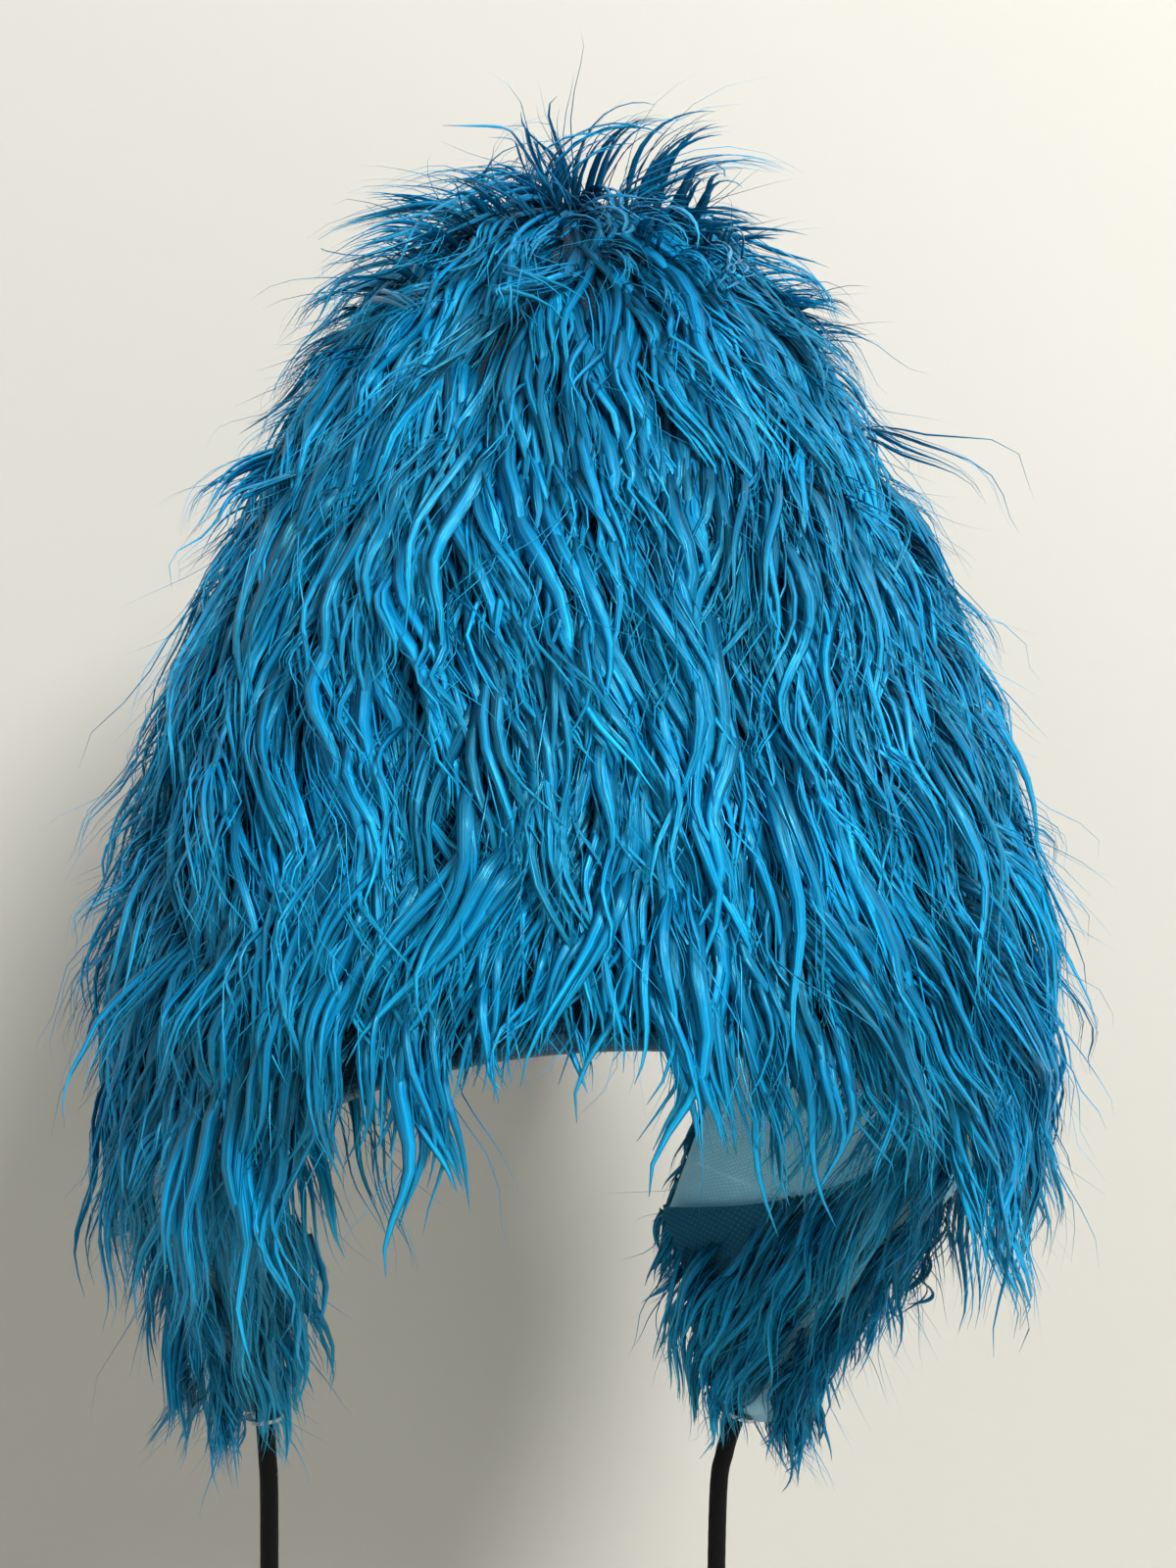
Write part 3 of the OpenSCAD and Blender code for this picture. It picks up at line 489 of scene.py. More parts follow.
for sideName, sign in (("left", 1), ("right", -1)):
    title, body = sideName.capitalize(), "pull_" + sideName
    route = np.array(cords[sideName]) * mm
    exitPoint = route[cords["exitIndex"]]
    above = exitPoint + cords["insideLength"] * unit(route[1] - exitPoint)
    hang, hangLength = smoothPath(np.vstack([above, route[2:]]), 420)
    hidden = smoothPath(np.vstack([route[:2], above]), 60)[0]
    points = smoothPath(np.vstack([above, route[2:]]), 36)[0]
    cordPiece = tubePiece("pullCord" + title, hang, cords["diameter"] / 2, 32, (0, 1, 0), cordBraid, body, "cord",
                          ("pull_cord_" + sideName,), 0.07)
    tubePiece("flapCord" + title, hidden, cords["diameter"] / 2, 16, (0, 1, 0), cordBraid, body, "cord", (), 0.05)
    knot = knotPiece("pullKnot" + title, route[-1], body, "pull_knot_" + sideName)
    flip = np.array([sign, 1, 1])
    inner = smoothPath(np.array(cords["inner"]) * mm * flip, 240)[0]
    tubePiece("innerCord" + title, inner, cords["diameter"] / 2, 24, unit(np.array([0.8, -0.6, 0.0])) * flip, cordBraid,
              "crown", "cord", ("inner_cord_" + sideName,), 0.06)


def profileTable(r, z):
    # arc length, point and outward normal along a profile that runs downwards
    r, z = np.asarray(r, dtype=float), np.asarray(z, dtype=float)
    s = np.concatenate([[0], np.cumsum(np.hypot(np.diff(r), np.diff(z)))])
    dr, dz = np.gradient(r, s), np.gradient(z, s)
    size = np.hypot(dr, dz)
    return {"s": s, "r": r, "z": z, "nr": -dz / size, "nz": dr / size}


def roundedTable(radius, height, power, steps, skirt, skirtSteps, top=0.0):
    # radius times cos to the 0.8, height times sin to a power, then a straight skirt
    a = np.radians(np.linspace(90, 0, steps))
    r = radius * np.cos(a) ** 0.8
    r[0] = 0
    below = np.linspace(0, -skirt, skirtSteps)[1:]
    return profileTable(np.concatenate([r, np.full(skirtSteps - 1, radius)]),
                        top + np.concatenate([height * np.sin(a) ** power, below]))


def bellTable(radius, height, drop):
    return roundedTable(radius, height, 1.818, 400, drop, 80)


def domeTable(radius, height, top, skirt):
    return roundedTable(radius, height, 0.9, 160, skirt, 30, top)


def onTable(table, s, azimuth, height, centre=(0, 0, 0)):
    # point at a distance s along the profile, turned to an azimuth and raised off the surface
    look = {key: np.interp(s, table["s"], table[key]) for key in ("r", "z", "nr", "nz")}
    r = look["r"] + look["nr"] * height
    point = stack(r * np.cos(azimuth), r * np.sin(azimuth), look["z"] + look["nz"] * height)
    return point + np.asarray(centre), stack(look["nr"] * np.cos(azimuth), look["nr"] * np.sin(azimuth), look["nz"])


hat = {"headRadius": 0.095, "clothRadius": 0.104, "crownHeight": 0.190, "liningHeight": 0.158, "rim": -0.012,
       "archWidth": 0.124, "archRise": 0.015, "windowWidth": 0.116, "windowTop": 0.0135}
archRadius = ((hat["archWidth"] / 2) ** 2 + hat["archRise"] ** 2) / (2 * hat["archRise"])
archCentre = hat["archRise"] + hat["rim"] - archRadius
mouthY = -hat["clothRadius"]


def hemHeight(azimuth, radius):
    # lower edge of the crown: the rim, raised to the arch at the back
    x = radius * np.cos(azimuth)
    arch = archCentre + np.sqrt(np.maximum(archRadius**2 - x**2, 0))
    atBack = (np.sin(azimuth) > 0) & (np.abs(x) < hat["archWidth"] / 2)
    return np.where(atBack, np.maximum(arch, hat["rim"]), hat["rim"])


def windowEdge(azimuth, radius):
    # the crown's edge, raised over the mouth at the front
    front = (np.sin(azimuth) < 0) & (np.abs(radius * np.cos(azimuth)) < hat["windowWidth"] / 2)
    return np.where(front, hat["windowTop"], hemHeight(azimuth, radius))


def crownGrid(table, rows, cols, height, edge, ripple=None):
    # rows run from the crown's point down to its lower edge, which follows the hem
    azimuth = 2 * np.pi * np.arange(cols)[None, :] / cols
    endS = np.interp(-edge(azimuth, table["r"][-1]), -table["z"], table["s"])
    s = np.linspace(0, 1, rows)[:, None] ** 0.9 * endS
    lift = height + (ripple(s, azimuth) if ripple else 0)
    return onTable(table, s, np.broadcast_to(azimuth, s.shape), np.where(s < 1e-9, height, lift))[0]


def waves(u, v, count, low, high, seed):
    # smooth noise between -1 and 1 from a few sine waves
    own = np.random.default_rng(seed)
    total = 0
    for number in range(count):
        a, b, p = own.uniform(low, high) * own.choice([-1, 1]), own.uniform(low, high), own.uniform(0, 2 * np.pi)
        total = total + np.sin(a * u + b * v + p)
    return total / math.sqrt(count * 2)


def folds(s, a):
    # slack folds, and four gathered seams, which fade at the crown's point and at the hem
    slack = 0.0008 * np.abs(waves(a * 7, s * 25, 6, 0.6, 1.8, 8))
    slack = slack * np.clip(s / 0.03, 0, 1) * np.clip((s.max() - s) / 0.03, 0, 1)
    fromSeam = (np.mod(a + np.pi / 4, np.pi / 2) - np.pi / 4) * 0.08
    return -slack - 0.0012 * np.exp(-(fromSeam / 0.0022) ** 2) * np.clip(s / 0.02, 0, 1)


print("crown")
padWall = {"lift": 0.0022, "uneven": 0.0004, "innerRadius": 0.0963, "innerHeight": 0.1593}
outerCrown = crownGrid(bellTable(hat["clothRadius"], hat["crownHeight"], 0.2), 54, 180, padWall["lift"], windowEdge,
                       lambda s, a: padWall["uneven"] * waves(s * 90, a * 9, 5, 0.5, 1.6, 3))
innerCrown = crownGrid(bellTable(padWall["innerRadius"], padWall["innerHeight"], 0.05), 54, 180, 0.0, windowEdge)
innerCrown[..., 2] = np.maximum(innerCrown[..., 2], outerCrown[-1, :, 2][None, :])
quarters = [f"{kind}_{end}_{side}" for kind in ("fur", "foam") for end in ("back", "front")
            for side in ("left", "right")]
crownPad = shellPiece("crownPad", outerCrown, innerCrown, True, backing, "crown", "fur", quarters)

liningTable = bellTable(hat["headRadius"], hat["liningHeight"], 0.05)
innerLining = crownGrid(liningTable, 60, 264, 0.0003, hemHeight, folds)
outerLining = crownGrid(liningTable, 60, 264, 0.0011, hemHeight)
shellPiece("crownLining", outerLining, innerLining, True, tricot, "crown", "tricot", ("lining",))

# tape round the head opening, with a row of stitches along each edge
band = {"top": 0.021, "thickness": 0.0014, "outer": 0.0951, "inner": 0.0949}
azimuthRow = 2 * np.pi * np.arange(420)[None, :] / 420
lowEdge = hemHeight(azimuthRow, hat["headRadius"]) + 0.0006
bandRows = np.linspace(0, 1, 26)[:, None]
bandZ = band["top"] + (lowEdge - band["top"]) * bandRows
puff = np.sin(np.pi * np.clip(bandRows, 0.02, 0.98)) ** 0.25
stitchRows = np.exp(-((bandRows - 0.12) / 0.03) ** 2) + np.exp(-((bandRows - 0.86) / 0.03) ** 2)
bandRadius = band["inner"] - band["thickness"] * puff * (1 - 0.4 * stitchRows * (np.sin(azimuthRow * 95) > -0.3))
tapeRings = [stack(r * np.cos(azimuthRow), r * np.sin(azimuthRow), bandZ) for r in (band["outer"], bandRadius)]
shellPiece("sweatTape", *tapeRings, True, bandCloth, "crown", "band", ("sweatband",))

# a folded tape over each edge: its section is a flattened hoop round the hem
hoop = {"corners": 22, "middle": 0.1003, "half": 0.0062}
for name, halfOpening, count, start, node, depth in (("backBinding", 0.0635, 220, 0, "back_hem", 0.0024),
                                                     ("frontBinding", 0.0522, 160, -math.pi, "front_hem", 0.0022)):
    gap = math.acos(halfOpening / hat["clothRadius"])
    azimuths = np.linspace(start + gap, start + math.pi - gap, count)
    t = np.linspace(0, 2 * np.pi, hoop["corners"], endpoint=False)[None, :]
    edge = hemHeight(azimuths, hat["clothRadius"])[:, None]
    stitched = 1 + 0.04 * np.sin(azimuths * 260)[:, None]
    ends = np.clip(np.minimum(np.arange(count), np.arange(count)[::-1]) / 3, 0.08, 1)[:, None]
    c, s = np.cos(t), np.sin(t)
    r = hoop["middle"] + hoop["half"] * np.sign(c) * np.abs(c) ** 0.55 * stitched
    z = edge + depth * (np.sign(s) * np.abs(s) ** 0.7 * ends) + depth * 0.25
    points = stack(r * np.cos(azimuths)[:, None], r * np.sin(azimuths)[:, None], z)
    faces, caps = gridFaces(count, hoop["corners"]), endCaps(count, hoop["corners"])
    mesh = buildMesh(name, np.concatenate([points.reshape(-1, 3), points[[0, -1]].mean(axis=1)]), [faces, caps])
    row, col = gridPlaces(faces, hoop["corners"])
    cloth = stack(azimuths[row] * 0.1, col * 0.0012).reshape(-1, 2)
    giveUv(mesh, "weave", np.concatenate([cloth, np.zeros((caps.size, 2))]))
    finishPiece(name, mesh, hemCloth, "crown", "band", (node,))

# felt over the padding behind the mouth
throat = {"halfAngle": 0.58, "top": 0.0155, "bottom": -0.0118, "front": 0.10435, "back": 0.0965}
throatA = -math.pi / 2 + np.linspace(-throat["halfAngle"], throat["halfAngle"], 60)[None, :]
throatZ = np.linspace(throat["top"], throat["bottom"], 12)[:, None]
throatWalls = [stack(throat[r] * np.cos(throatA), throat[r] * np.sin(throatA), throatZ) for r in ("front", "back")]
shellPiece("throatFelt", *throatWalls, False, throatFelt, "crown", "mouth_felt")

print("flaps")
flaps = {"left": {"length": 0.108, "lean": math.radians(4), "side": 1, "open": 0.65},
         "right": {"length": 0.122, "lean": math.radians(20), "side": -1, "open": 0.0}}
flapShape = {"front": -0.078, "back": 0.082, "tipY": -0.045, "tipRadius": 0.014, "seamRise": 0.040,
             "seamSlope": math.radians(32)}


def flapEdges(length):
    # the outline as two edges over the height: straight front and round tip, hollow back edge
    tipY, tipRadius, foldBack = flapShape["tipY"], flapShape["tipRadius"], flapShape["back"]
    tipZ = hat["rim"] - length + tipRadius

    def tipArc(fromDegrees, toDegrees):
        turn = np.radians(np.linspace(fromDegrees, toDegrees, 40))
        return stack(tipY + tipRadius * np.cos(turn), tipZ + tipRadius * np.sin(turn))

    front = np.concatenate([[[flapShape["front"], 0.04], [flapShape["front"], tipZ + 0.025]], tipArc(180, 270)])
    t = np.linspace(1, 0, 60)[:, None]
    low, mid, high = (np.array(p) for p in ((tipY + tipRadius + 0.002, tipZ + 0.012),
                                            (-0.004, hat["rim"] - length * 0.36), (foldBack, hat["rim"])))
    curve = (1 - t) ** 2 * low + 2 * t * (1 - t) * mid + t**2 * high
    back = np.concatenate([[[foldBack, 0.04]], curve, tipArc(10, -90)])
    return (lambda z: np.interp(-z, -front[:, 1], front[:, 0])), (lambda z: np.interp(-z, -back[:, 1], back[:, 0]))


def hangFlap(points, flap):
    # leans the flap's own frame in about the fold, and mirrors it for the right side
    p = np.array(points, dtype=float)
    x, z = p[..., 0] - hat["clothRadius"], p[..., 2] - hat["rim"]
    c, s = math.cos(flap["lean"]), math.sin(flap["lean"])
    p[..., 0] = (hat["clothRadius"] + x * c + z * s) * flap["side"]
    p[..., 2] = hat["rim"] - x * s + z * c
    # a slack flap also swings its front edge outwards below the fold
    ahead = np.clip(points[..., 1], -0.085, 0)
    wide = hat["clothRadius"] - np.sqrt(np.maximum(hat["clothRadius"] ** 2 - ahead**2, 0))
    below = np.clip((hat["rim"] - 0.002 - points[..., 2]) / 0.05, 0, 1)
    p[..., 0] += flap["side"] * flap["open"] * wide * below**2 * (3 - 2 * below)
    return p


def onCylinder(radius, y, z):
    return stack(np.sqrt(np.maximum(radius**2 - y**2, 1e-8)), y, z)


def flapGrid(flap, rows, cols, radius, inset=0.0, top=-0.0123):
    # rows down the flap, columns from its front edge to its back edge
    frontOf, backOf = flapEdges(flap["length"])
    lowest = hat["rim"] - flap["length"] + inset + 0.0004
    z = top + (lowest - top) * np.sin(np.linspace(0, 1, rows) * np.pi / 2)[:, None]
    u = np.linspace(0, 1, cols)[None, :]
    yFront, yBack = frontOf(z) + inset, backOf(z) - inset
    yBack = np.maximum(yBack, yFront + 0.0004)
    y = yFront + (yBack - yFront) * (0.5 - 0.5 * np.cos(np.pi * u))
    return onCylinder(radius, y, z)


def edgeRound(flap, points, reach):
    # 1 inside the flap, falling to 0 at its free edges over the given reach
    frontOf, backOf = flapEdges(flap["length"])
    y, z = points[..., 1], points[..., 2]
    gap = np.minimum(np.minimum(y - frontOf(z), backOf(z) - y), z - (hat["rim"] - flap["length"]))
    d = np.clip(gap / reach, 0, 1)
    return np.sqrt(np.maximum(1 - (1 - d) ** 2, 0))


def seamHeight(flap, y):
    # the lining's lower seam rises towards the back
    rise = (y - flapShape["front"]) * math.tan(flapShape["seamSlope"])
    return hat["rim"] - flap["length"] + flapShape["seamRise"] + rise


def radially(points, change):
    # moves points in or out from the hat's axis
    r = np.hypot(points[..., 0], points[..., 1])[..., None]
    out = points.copy()
    out[..., :2] *= (r + change[..., None]) / r
    return out


flapWalls = {"outer": 0.1060, "inner": 0.0966, "foldZ": -0.0125, "liningBack": 0.0969, "facingFront": 0.0946,
             "facingBack": 0.0968}
for sideName, flap in flaps.items():
    title, body = sideName.capitalize(), "flap_" + sideName
    frontOf, backOf = flapEdges(flap["length"])
    outer = flapGrid(flap, 60, 66, flapWalls["outer"])
    inner = flapGrid(flap, 60, 66, flapWalls["inner"])
    full = edgeRound(flap, outer, 0.008)
    quilt = 0.0005 * waves(outer[..., 1] * 160, outer[..., 2] * 160, 5, 0.5, 1.5, 12)
    outer = radially(outer, (full - 1) * 0.0046 + quilt * full)
    inner = radially(inner, (1 - full) * 0.0046)
    pad = shellPiece("flapPad" + title, hangFlap(outer, flap), hangFlap(inner, flap), False, tricot, body, "padding",
                     ("flap_fur_" + sideName, "flap_foam_" + sideName))
    # lining above the seam: slack knit, puckered where it is sewn
    net = flapGrid(flap, 64, 84, 0.0958, inset=0.003)
    foldZ = flapWalls["foldZ"]
    seam = np.maximum(seamHeight(flap, net[..., 1]), hat["rim"] - flap["length"] + 0.006)
    z = foldZ + (np.maximum(net[-1:, :, 2], seam) - foldZ) * np.linspace(0, 1, 64)[:, None]
    z = np.minimum(z, foldZ)
    yFront, yBack = frontOf(z) + 0.003, np.maximum(backOf(z) - 0.003, frontOf(z) + 0.004)
    y = yFront + (yBack - yFront) * np.linspace(0, 1, 84)[None, :]
    fromSeam = np.abs(z - seamHeight(flap, y))
    pucker = 0.0007 * np.sin(y * 1400 + 2 * np.sin(y * 190)) * np.exp(-fromSeam / 0.006)
    slack = 0.0009 * np.abs(waves(y * 120, z * 70, 5, 0.4, 1.4, 21)) * np.clip(fromSeam / 0.01, 0, 1)
    tuck = np.clip(np.minimum(y - yFront, yBack - y) / 0.004, 0, 1) ** 0.5
    surface = onCylinder(flapWalls["inner"] - (0.0012 + slack + pucker) * tuck, y, z)
    behind = onCylinder(flapWalls["liningBack"], y, z)
    shellPiece("flapLining" + title, hangFlap(behind, flap), hangFlap(surface, flap), False, tricot, body, "tricot",
               ("flap_lining_" + sideName,), stack(y, z))
    # facing cloth below the seam, which its own pile covers
    low = flapGrid(flap, 44, 44, 0.0962, inset=0.0025)
    y = low[..., 1]
    z = np.minimum(low[..., 2], seamHeight(flap, y))
    front, back = (hangFlap(onCylinder(flapWalls[wall], y, z), flap) for wall in ("facingFront", "facingBack"))
    shellPiece("flapFacing" + title, back, front, False, facingBacking, body, "fur", ("flap_facing_" + sideName,))


print("face")
face = {"palateRadius": 0.052, "muzzleTop": 0.0185, "muzzleHeight": 0.027, "jawRadius": 0.045, "jawFelt": 0.0035,
        "chinTop": 0.0045, "chinHeight": 0.026, "pinY": -0.112, "wallSlope": math.tan(math.radians(33))}


def crownRadiusAt(z):
    # the crown cloth's radius at a height
    a = np.arcsin(np.clip(np.maximum(z, 0) / hat["crownHeight"], 0, 1) ** (1 / 1.818))
    return hat["clothRadius"] * np.cos(a) ** 0.8


muzzleTable = domeTable(face["palateRadius"], face["muzzleHeight"], face["muzzleTop"], 0.0055)


def muzzleGrid(rows, cols, height):
    # rows down from the dome's top, columns round its front as far as the crown
    s = np.linspace(0.002, 1, rows)[:, None] * muzzleTable["s"][-1]
    r = np.interp(s, muzzleTable["s"], muzzleTable["r"]) + height
    z = np.interp(s, muzzleTable["s"], muzzleTable["z"])
    reach = crownRadiusAt(z) + 0.0012
    c = (reach**2 - mouthY**2 - r**2) / (2 * abs(mouthY) * np.maximum(r, 1e-5))
    turn = np.arccos(np.clip(c, -1, 1)) * np.linspace(-1, 1, cols)[None, :]
    return onTable(muzzleTable, np.broadcast_to(s, turn.shape), -np.pi / 2 + turn, np.full(turn.shape, height),
                   (0, mouthY, 0))[0]


def chinGrid(rows, cols, outer):
    # a dome turned upside down, cut behind by the sloping wall that clears the hat
    depth = face["chinTop"] + face["chinHeight"] * np.linspace(0, 0.985, rows)[:, None]
    a = np.arcsin(np.clip((depth - face["chinTop"]) / face["chinHeight"], 0, 1) ** (1 / 0.9))
    r = face["jawRadius"] * np.cos(a) ** 0.8 + 0.0016
    z = face["jawFelt"] - depth + 0.001
    wall = -0.1155 + np.minimum(z + 0.001, 0) * face["wallSlope"]
    widest = np.arccos(np.clip((mouthY - wall) / r, -1, 1))
    u = np.linspace(-1, 1, cols)[None, :]
    if outer:
        return stack(r * np.sin(widest * u), mouthY - r * np.cos(widest * u), z)
    return stack(r * np.sin(widest) * u, mouthY - r * np.cos(widest), z)


shellPiece("muzzleCloth", muzzleGrid(40, 90, 0.0016), muzzleGrid(40, 90, 0.0002), False, backing, "crown", "fur",
           ("muzzle_fur", "muzzle_foam"))
chinPad = shellPiece("chinPad", chinGrid(36, 70, True), chinGrid(36, 70, False), False, backing, "jaw", "fur",
                     ("chin_fur", "chin_foam"))


def softDish(sag):
    # felt that dips by sag towards its middle and is nowhere quite flat
    def bend(p, inset, height):
        uneven = 0.0002 * np.sin(p[..., 0] * 420) * np.cos(p[..., 1] * 380)
        return p + stack(0, 0, sag * (1 - inset**2) + uneven)
    return bend


def power(v, e):
    return np.sign(v) * np.abs(v) ** e


def frontArc(radius, halfAngle):
    turn = np.linspace(-halfAngle, halfAngle, 90)
    return stack(radius * np.sin(turn), mouthY - radius * np.cos(turn))


mouth = {"palate": (0.0140, 0.0156), "jaw": (0.0020, 0.0036), "tongue": (0.0036, 0.0085), "tooth": (0, 0.0031),
         "toothX": 0.0156, "dip": 0.0003}
arcPart = frontArc(0.0515, 1.78)
x = np.linspace(arcPart[-1, 0], arcPart[0, 0], 50)[1:-1]
palateLine = np.concatenate([arcPart, stack(x, -np.sqrt(0.1062**2 - x**2))])
slabPiece("palateFelt", palateLine, np.array([0, -0.130]), *mouth["palate"], mouthFelt, "crown", "mouth_felt",
          ("palate_lining",), softDish(0.0))
jawLine = np.concatenate([frontArc(0.0447, 1.27), stack(np.linspace(0.0427, -0.0427, 40)[1:-1], -0.1172)])
slabPiece("jawFelt", jawLine, np.array([0, -0.132]), *mouth["jaw"], mouthFelt, "jaw", "mouth_felt",
          ("jaw_lining",), softDish(mouth["dip"]))


def tongueBend(p, inset, height):
    # a groove down the middle and a tip that curls up a little
    groove = -0.0016 * np.exp(-(p[..., 0] / 0.003) ** 2) * height * np.clip(1 - inset, 0, 1) ** 0.3
    swell = 0.0008 * np.cos(p[..., 0] / 0.015 * 1.5) * height
    tip = 0.0012 * np.clip((-0.130 - p[..., 1]) / 0.012, 0, 1) ** 2
    return p + stack(0, 0, groove + swell + tip)


def toothBend(p, inset, height):
    # set upright, and thickest in the middle
    return stack(p[..., 0], -0.1480 + p[..., 2] + 0.0005 * (1 - inset**2) * (height - 0.5) * 2, p[..., 1])


turn = np.linspace(0, 2 * np.pi, 120, endpoint=False)
tongueLine = stack(0.0147 * power(np.cos(turn), 0.8), -0.1320 + 0.0108 * power(np.sin(turn), 0.75))
slabPiece("tongueFelt", tongueLine, np.array([0, -0.131]), *mouth["tongue"], tongueFelt, "jaw", "tongue_felt",
          ("tongue",), tongueBend)
toothEdge = 0.0102 + 0.0041 * power(np.sin(turn), np.where(np.sin(turn) > 0, 0.5, 0.95))
for sideName, x in (("left", mouth["toothX"]), ("right", -mouth["toothX"])):
    slabPiece("tooth" + sideName.capitalize(), stack(x + 0.0064 * power(np.cos(turn), 0.75), toothEdge),
              np.array([x, 0.0104]), *mouth["tooth"], toothFelt, "crown", "tooth_felt", ("tooth_" + sideName,),
              toothBend)

eyes = {"radius": 0.016, "height": 0.080, "turn": 22, "tilt": math.radians(78), "sink": 0.004, "body": 0.020,
        "dome": 0.009}
eyeSides = {side: math.radians(-90 + sign * eyes["turn"]) for side, sign in (("left", 1), ("right", -1))}


def eyeMaterial():
    # clear acrylic dome over painted amber: streaks run outwards from a black pupil to a dark rim
    material, add, surface = newMaterial("domedAcrylic", {"Roughness": 0.12, "IOR": 1.49, "Specular IOR Level": 0.4,
                                                           "Coat Weight": 0.3, "Coat Roughness": 0.03})
    turned = add("UVMap", uv_map="turned")
    around, outwards = list(add("SeparateXYZ", (turned,)).node.outputs)[:2]
    angle = add("Math", (around, 2 * math.pi), operation="MULTIPLY")
    ways = [add("Math", (add("Math", (angle,), operation=way), 16.0), operation="MULTIPLY")
            for way in ("SINE", "COSINE")]
    circle = add("CombineXYZ", (*ways, outwards))
    streaks = add("TexNoise", {"Vector": circle, "Scale": 1.6, "Detail": 5.0})
    inwards = add("Math", (outwards, 0.05), operation="SUBTRACT")
    edge = add("Math", (streaks, 0.10, inwards), operation="MULTIPLY_ADD")
    rings = ((0.0, "#050403"), (0.36, "#060403"), (0.385, "#8a4a08"), (0.55, "#e39a1c"), (0.70, "#b96a0e"),
             (0.80, "#241306"), (1.0, "#0c0806"))
    feed(surface, {"Base Color": add("ValToRGB", (edge,), stops=rings)})
    return material


acrylicEye = eyeMaterial()
eyeR = float(crownRadiusAt(eyes["height"]))
t = np.radians(np.linspace(0, 90, 26))
domeLine = stack((eyes["radius"] - 0.0004) * np.cos(t),
                 eyes["body"] - eyes["sink"] - 0.0006 + (eyes["dome"] + 0.0006) * np.sin(t))
domeLine[-1, 0] = 0
low = -eyes["sink"]
rim = [[0, low], [0.0142, low], [0.0156, low + 0.0006], [0.016, low + 0.002], [0.016, 0.0140], [0.0159, 0.0148]]
eyeLine = np.concatenate([rim, domeLine])


def eyeAxis(around):
    out = math.sin(eyes["tilt"])
    return np.array([out * math.cos(around), out * math.sin(around), math.cos(eyes["tilt"])])


for sideName, around in eyeSides.items():
    place = (np.array([eyeR * math.cos(around), eyeR * math.sin(around), eyes["height"]]), eyeAxis(around),
             np.array([-math.sin(around), math.cos(around), 0.0]))
    revolvedPiece("eye" + sideName.capitalize(), eyeLine, 96, place, acrylicEye, "crown", "eye", ("eye_" + sideName,))

nose = {"tilt": math.radians(34), "back": 0.72, "up": 0.66}
noseGloss = hardMaterial("moldedVinyl", "#b3501f", "#8a3a15", 1400, 0.00012,
                         {"Roughness": 0.28, "IOR": 1.52, "Coat Weight": 0.4, "Coat Roughness": 0.15})
noseOrigin = np.array([0, mouthY - face["palateRadius"] * nose["back"],
                       face["muzzleTop"] + face["muzzleHeight"] * nose["up"]])
noseAxis = np.array([0, -math.sin(nose["tilt"]), math.cos(nose["tilt"])])


def noseShape(x, y, z):
    # a rounded triangle: wide above, narrow below, with a dent for each nostril and a soft furrow
    size = np.clip(z / 0.012, 0, 1)
    wide = 1 + 0.10 * size * y / 0.012
    dent = np.exp(-(((np.abs(x) - 0.0048) / 0.0022) ** 2 + ((y + 0.0050) / 0.0024) ** 2)) * size
    furrow = np.exp(-(x / 0.0012) ** 2) * np.clip(-y / 0.008, 0, 1) * size
    return x * wide, y * (1 - 0.06 * size), z - 0.0026 * dent - 0.0012 * furrow


t = np.radians(np.linspace(0, 90, 44))
noseLine = np.concatenate([[[0, -0.0012], [0.0110, -0.0012], [0.0116, 0.0], [0.0118, 0.002]],
                           stack(0.0119 * np.cos(t) ** 0.8, 0.0085 + 0.0105 * np.sin(t) ** 1.1)])
noseLine[-1, 0] = 0
revolvedPiece("nose", noseLine, 120, (noseOrigin, noseAxis, np.array([1.0, 0, 0])), noseGloss, "crown", "nose",
              ("nose",), noseShape)

# wire spring round the pin: close turns, one leg under the palate and one on the jaw
spring = {"start": 0.018, "turns": 4.75, "pitch": 0.00132, "radius": 0.0032, "wire": 0.0006}
coilTurn = np.linspace(0, spring["turns"], 200)
coilAngle = np.pi + 2 * np.pi * coilTurn
coil = stack(spring["start"] + coilTurn * spring["pitch"], face["pinY"] + spring["radius"] * np.cos(coilAngle),
             0.004 + spring["radius"] * np.sin(coilAngle))
upperLeg = np.linspace([spring["start"], face["pinY"] - spring["radius"], 0.0138], coil[0], 12)[:-1]
lowerLeg = np.linspace(coil[-1], [coil[-1, 0], face["pinY"] - 0.014, 0.0042], 14)[1:]
tubePiece("springWire", np.concatenate([upperLeg, coil, lowerLeg]), spring["wire"], 10, (1, 0, 0), springSteel,
          "crown", "steel", ("jaw_spring",))

# the parts that are bare in the real thing keep their CAD solids
eyelets = [f"{end}_eyelet_{side}" for end in ("rim", "tip") for side in ("left", "right")]
for material, names in ((mouldedBoard, ("face_plate", "palate_board", "jaw_board")), (springSteel, ("hinge_pin",)),
                        (washerPlastic, ("nose_washer", "eye_washer_left", "eye_washer_right")),
                        (eyeletAlloy, eyelets)):
    for holder in (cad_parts[name] for name in names):
        if not holder.material_slots:
            holder.data.materials.append(material)
        for place in holder.material_slots:
            place.material = material

print("pile")


def spreadClumps(table, count, top, bottom):
    # golden-angle points, evenly spread over the surface between two arc lengths
    s, r = table["s"], table["r"]
    area = np.concatenate([[0], np.cumsum((r[1:] + r[:-1]) / 2 * np.diff(s))])
    a0, a1 = np.interp([top, bottom], s, area)
    i = np.arange(count)
    at = np.interp(a0 + (a1 - a0) * (i + 0.5) / count, area, s)
    return np.mod(i * 2.399963 + 0.7, 2 * np.pi), at


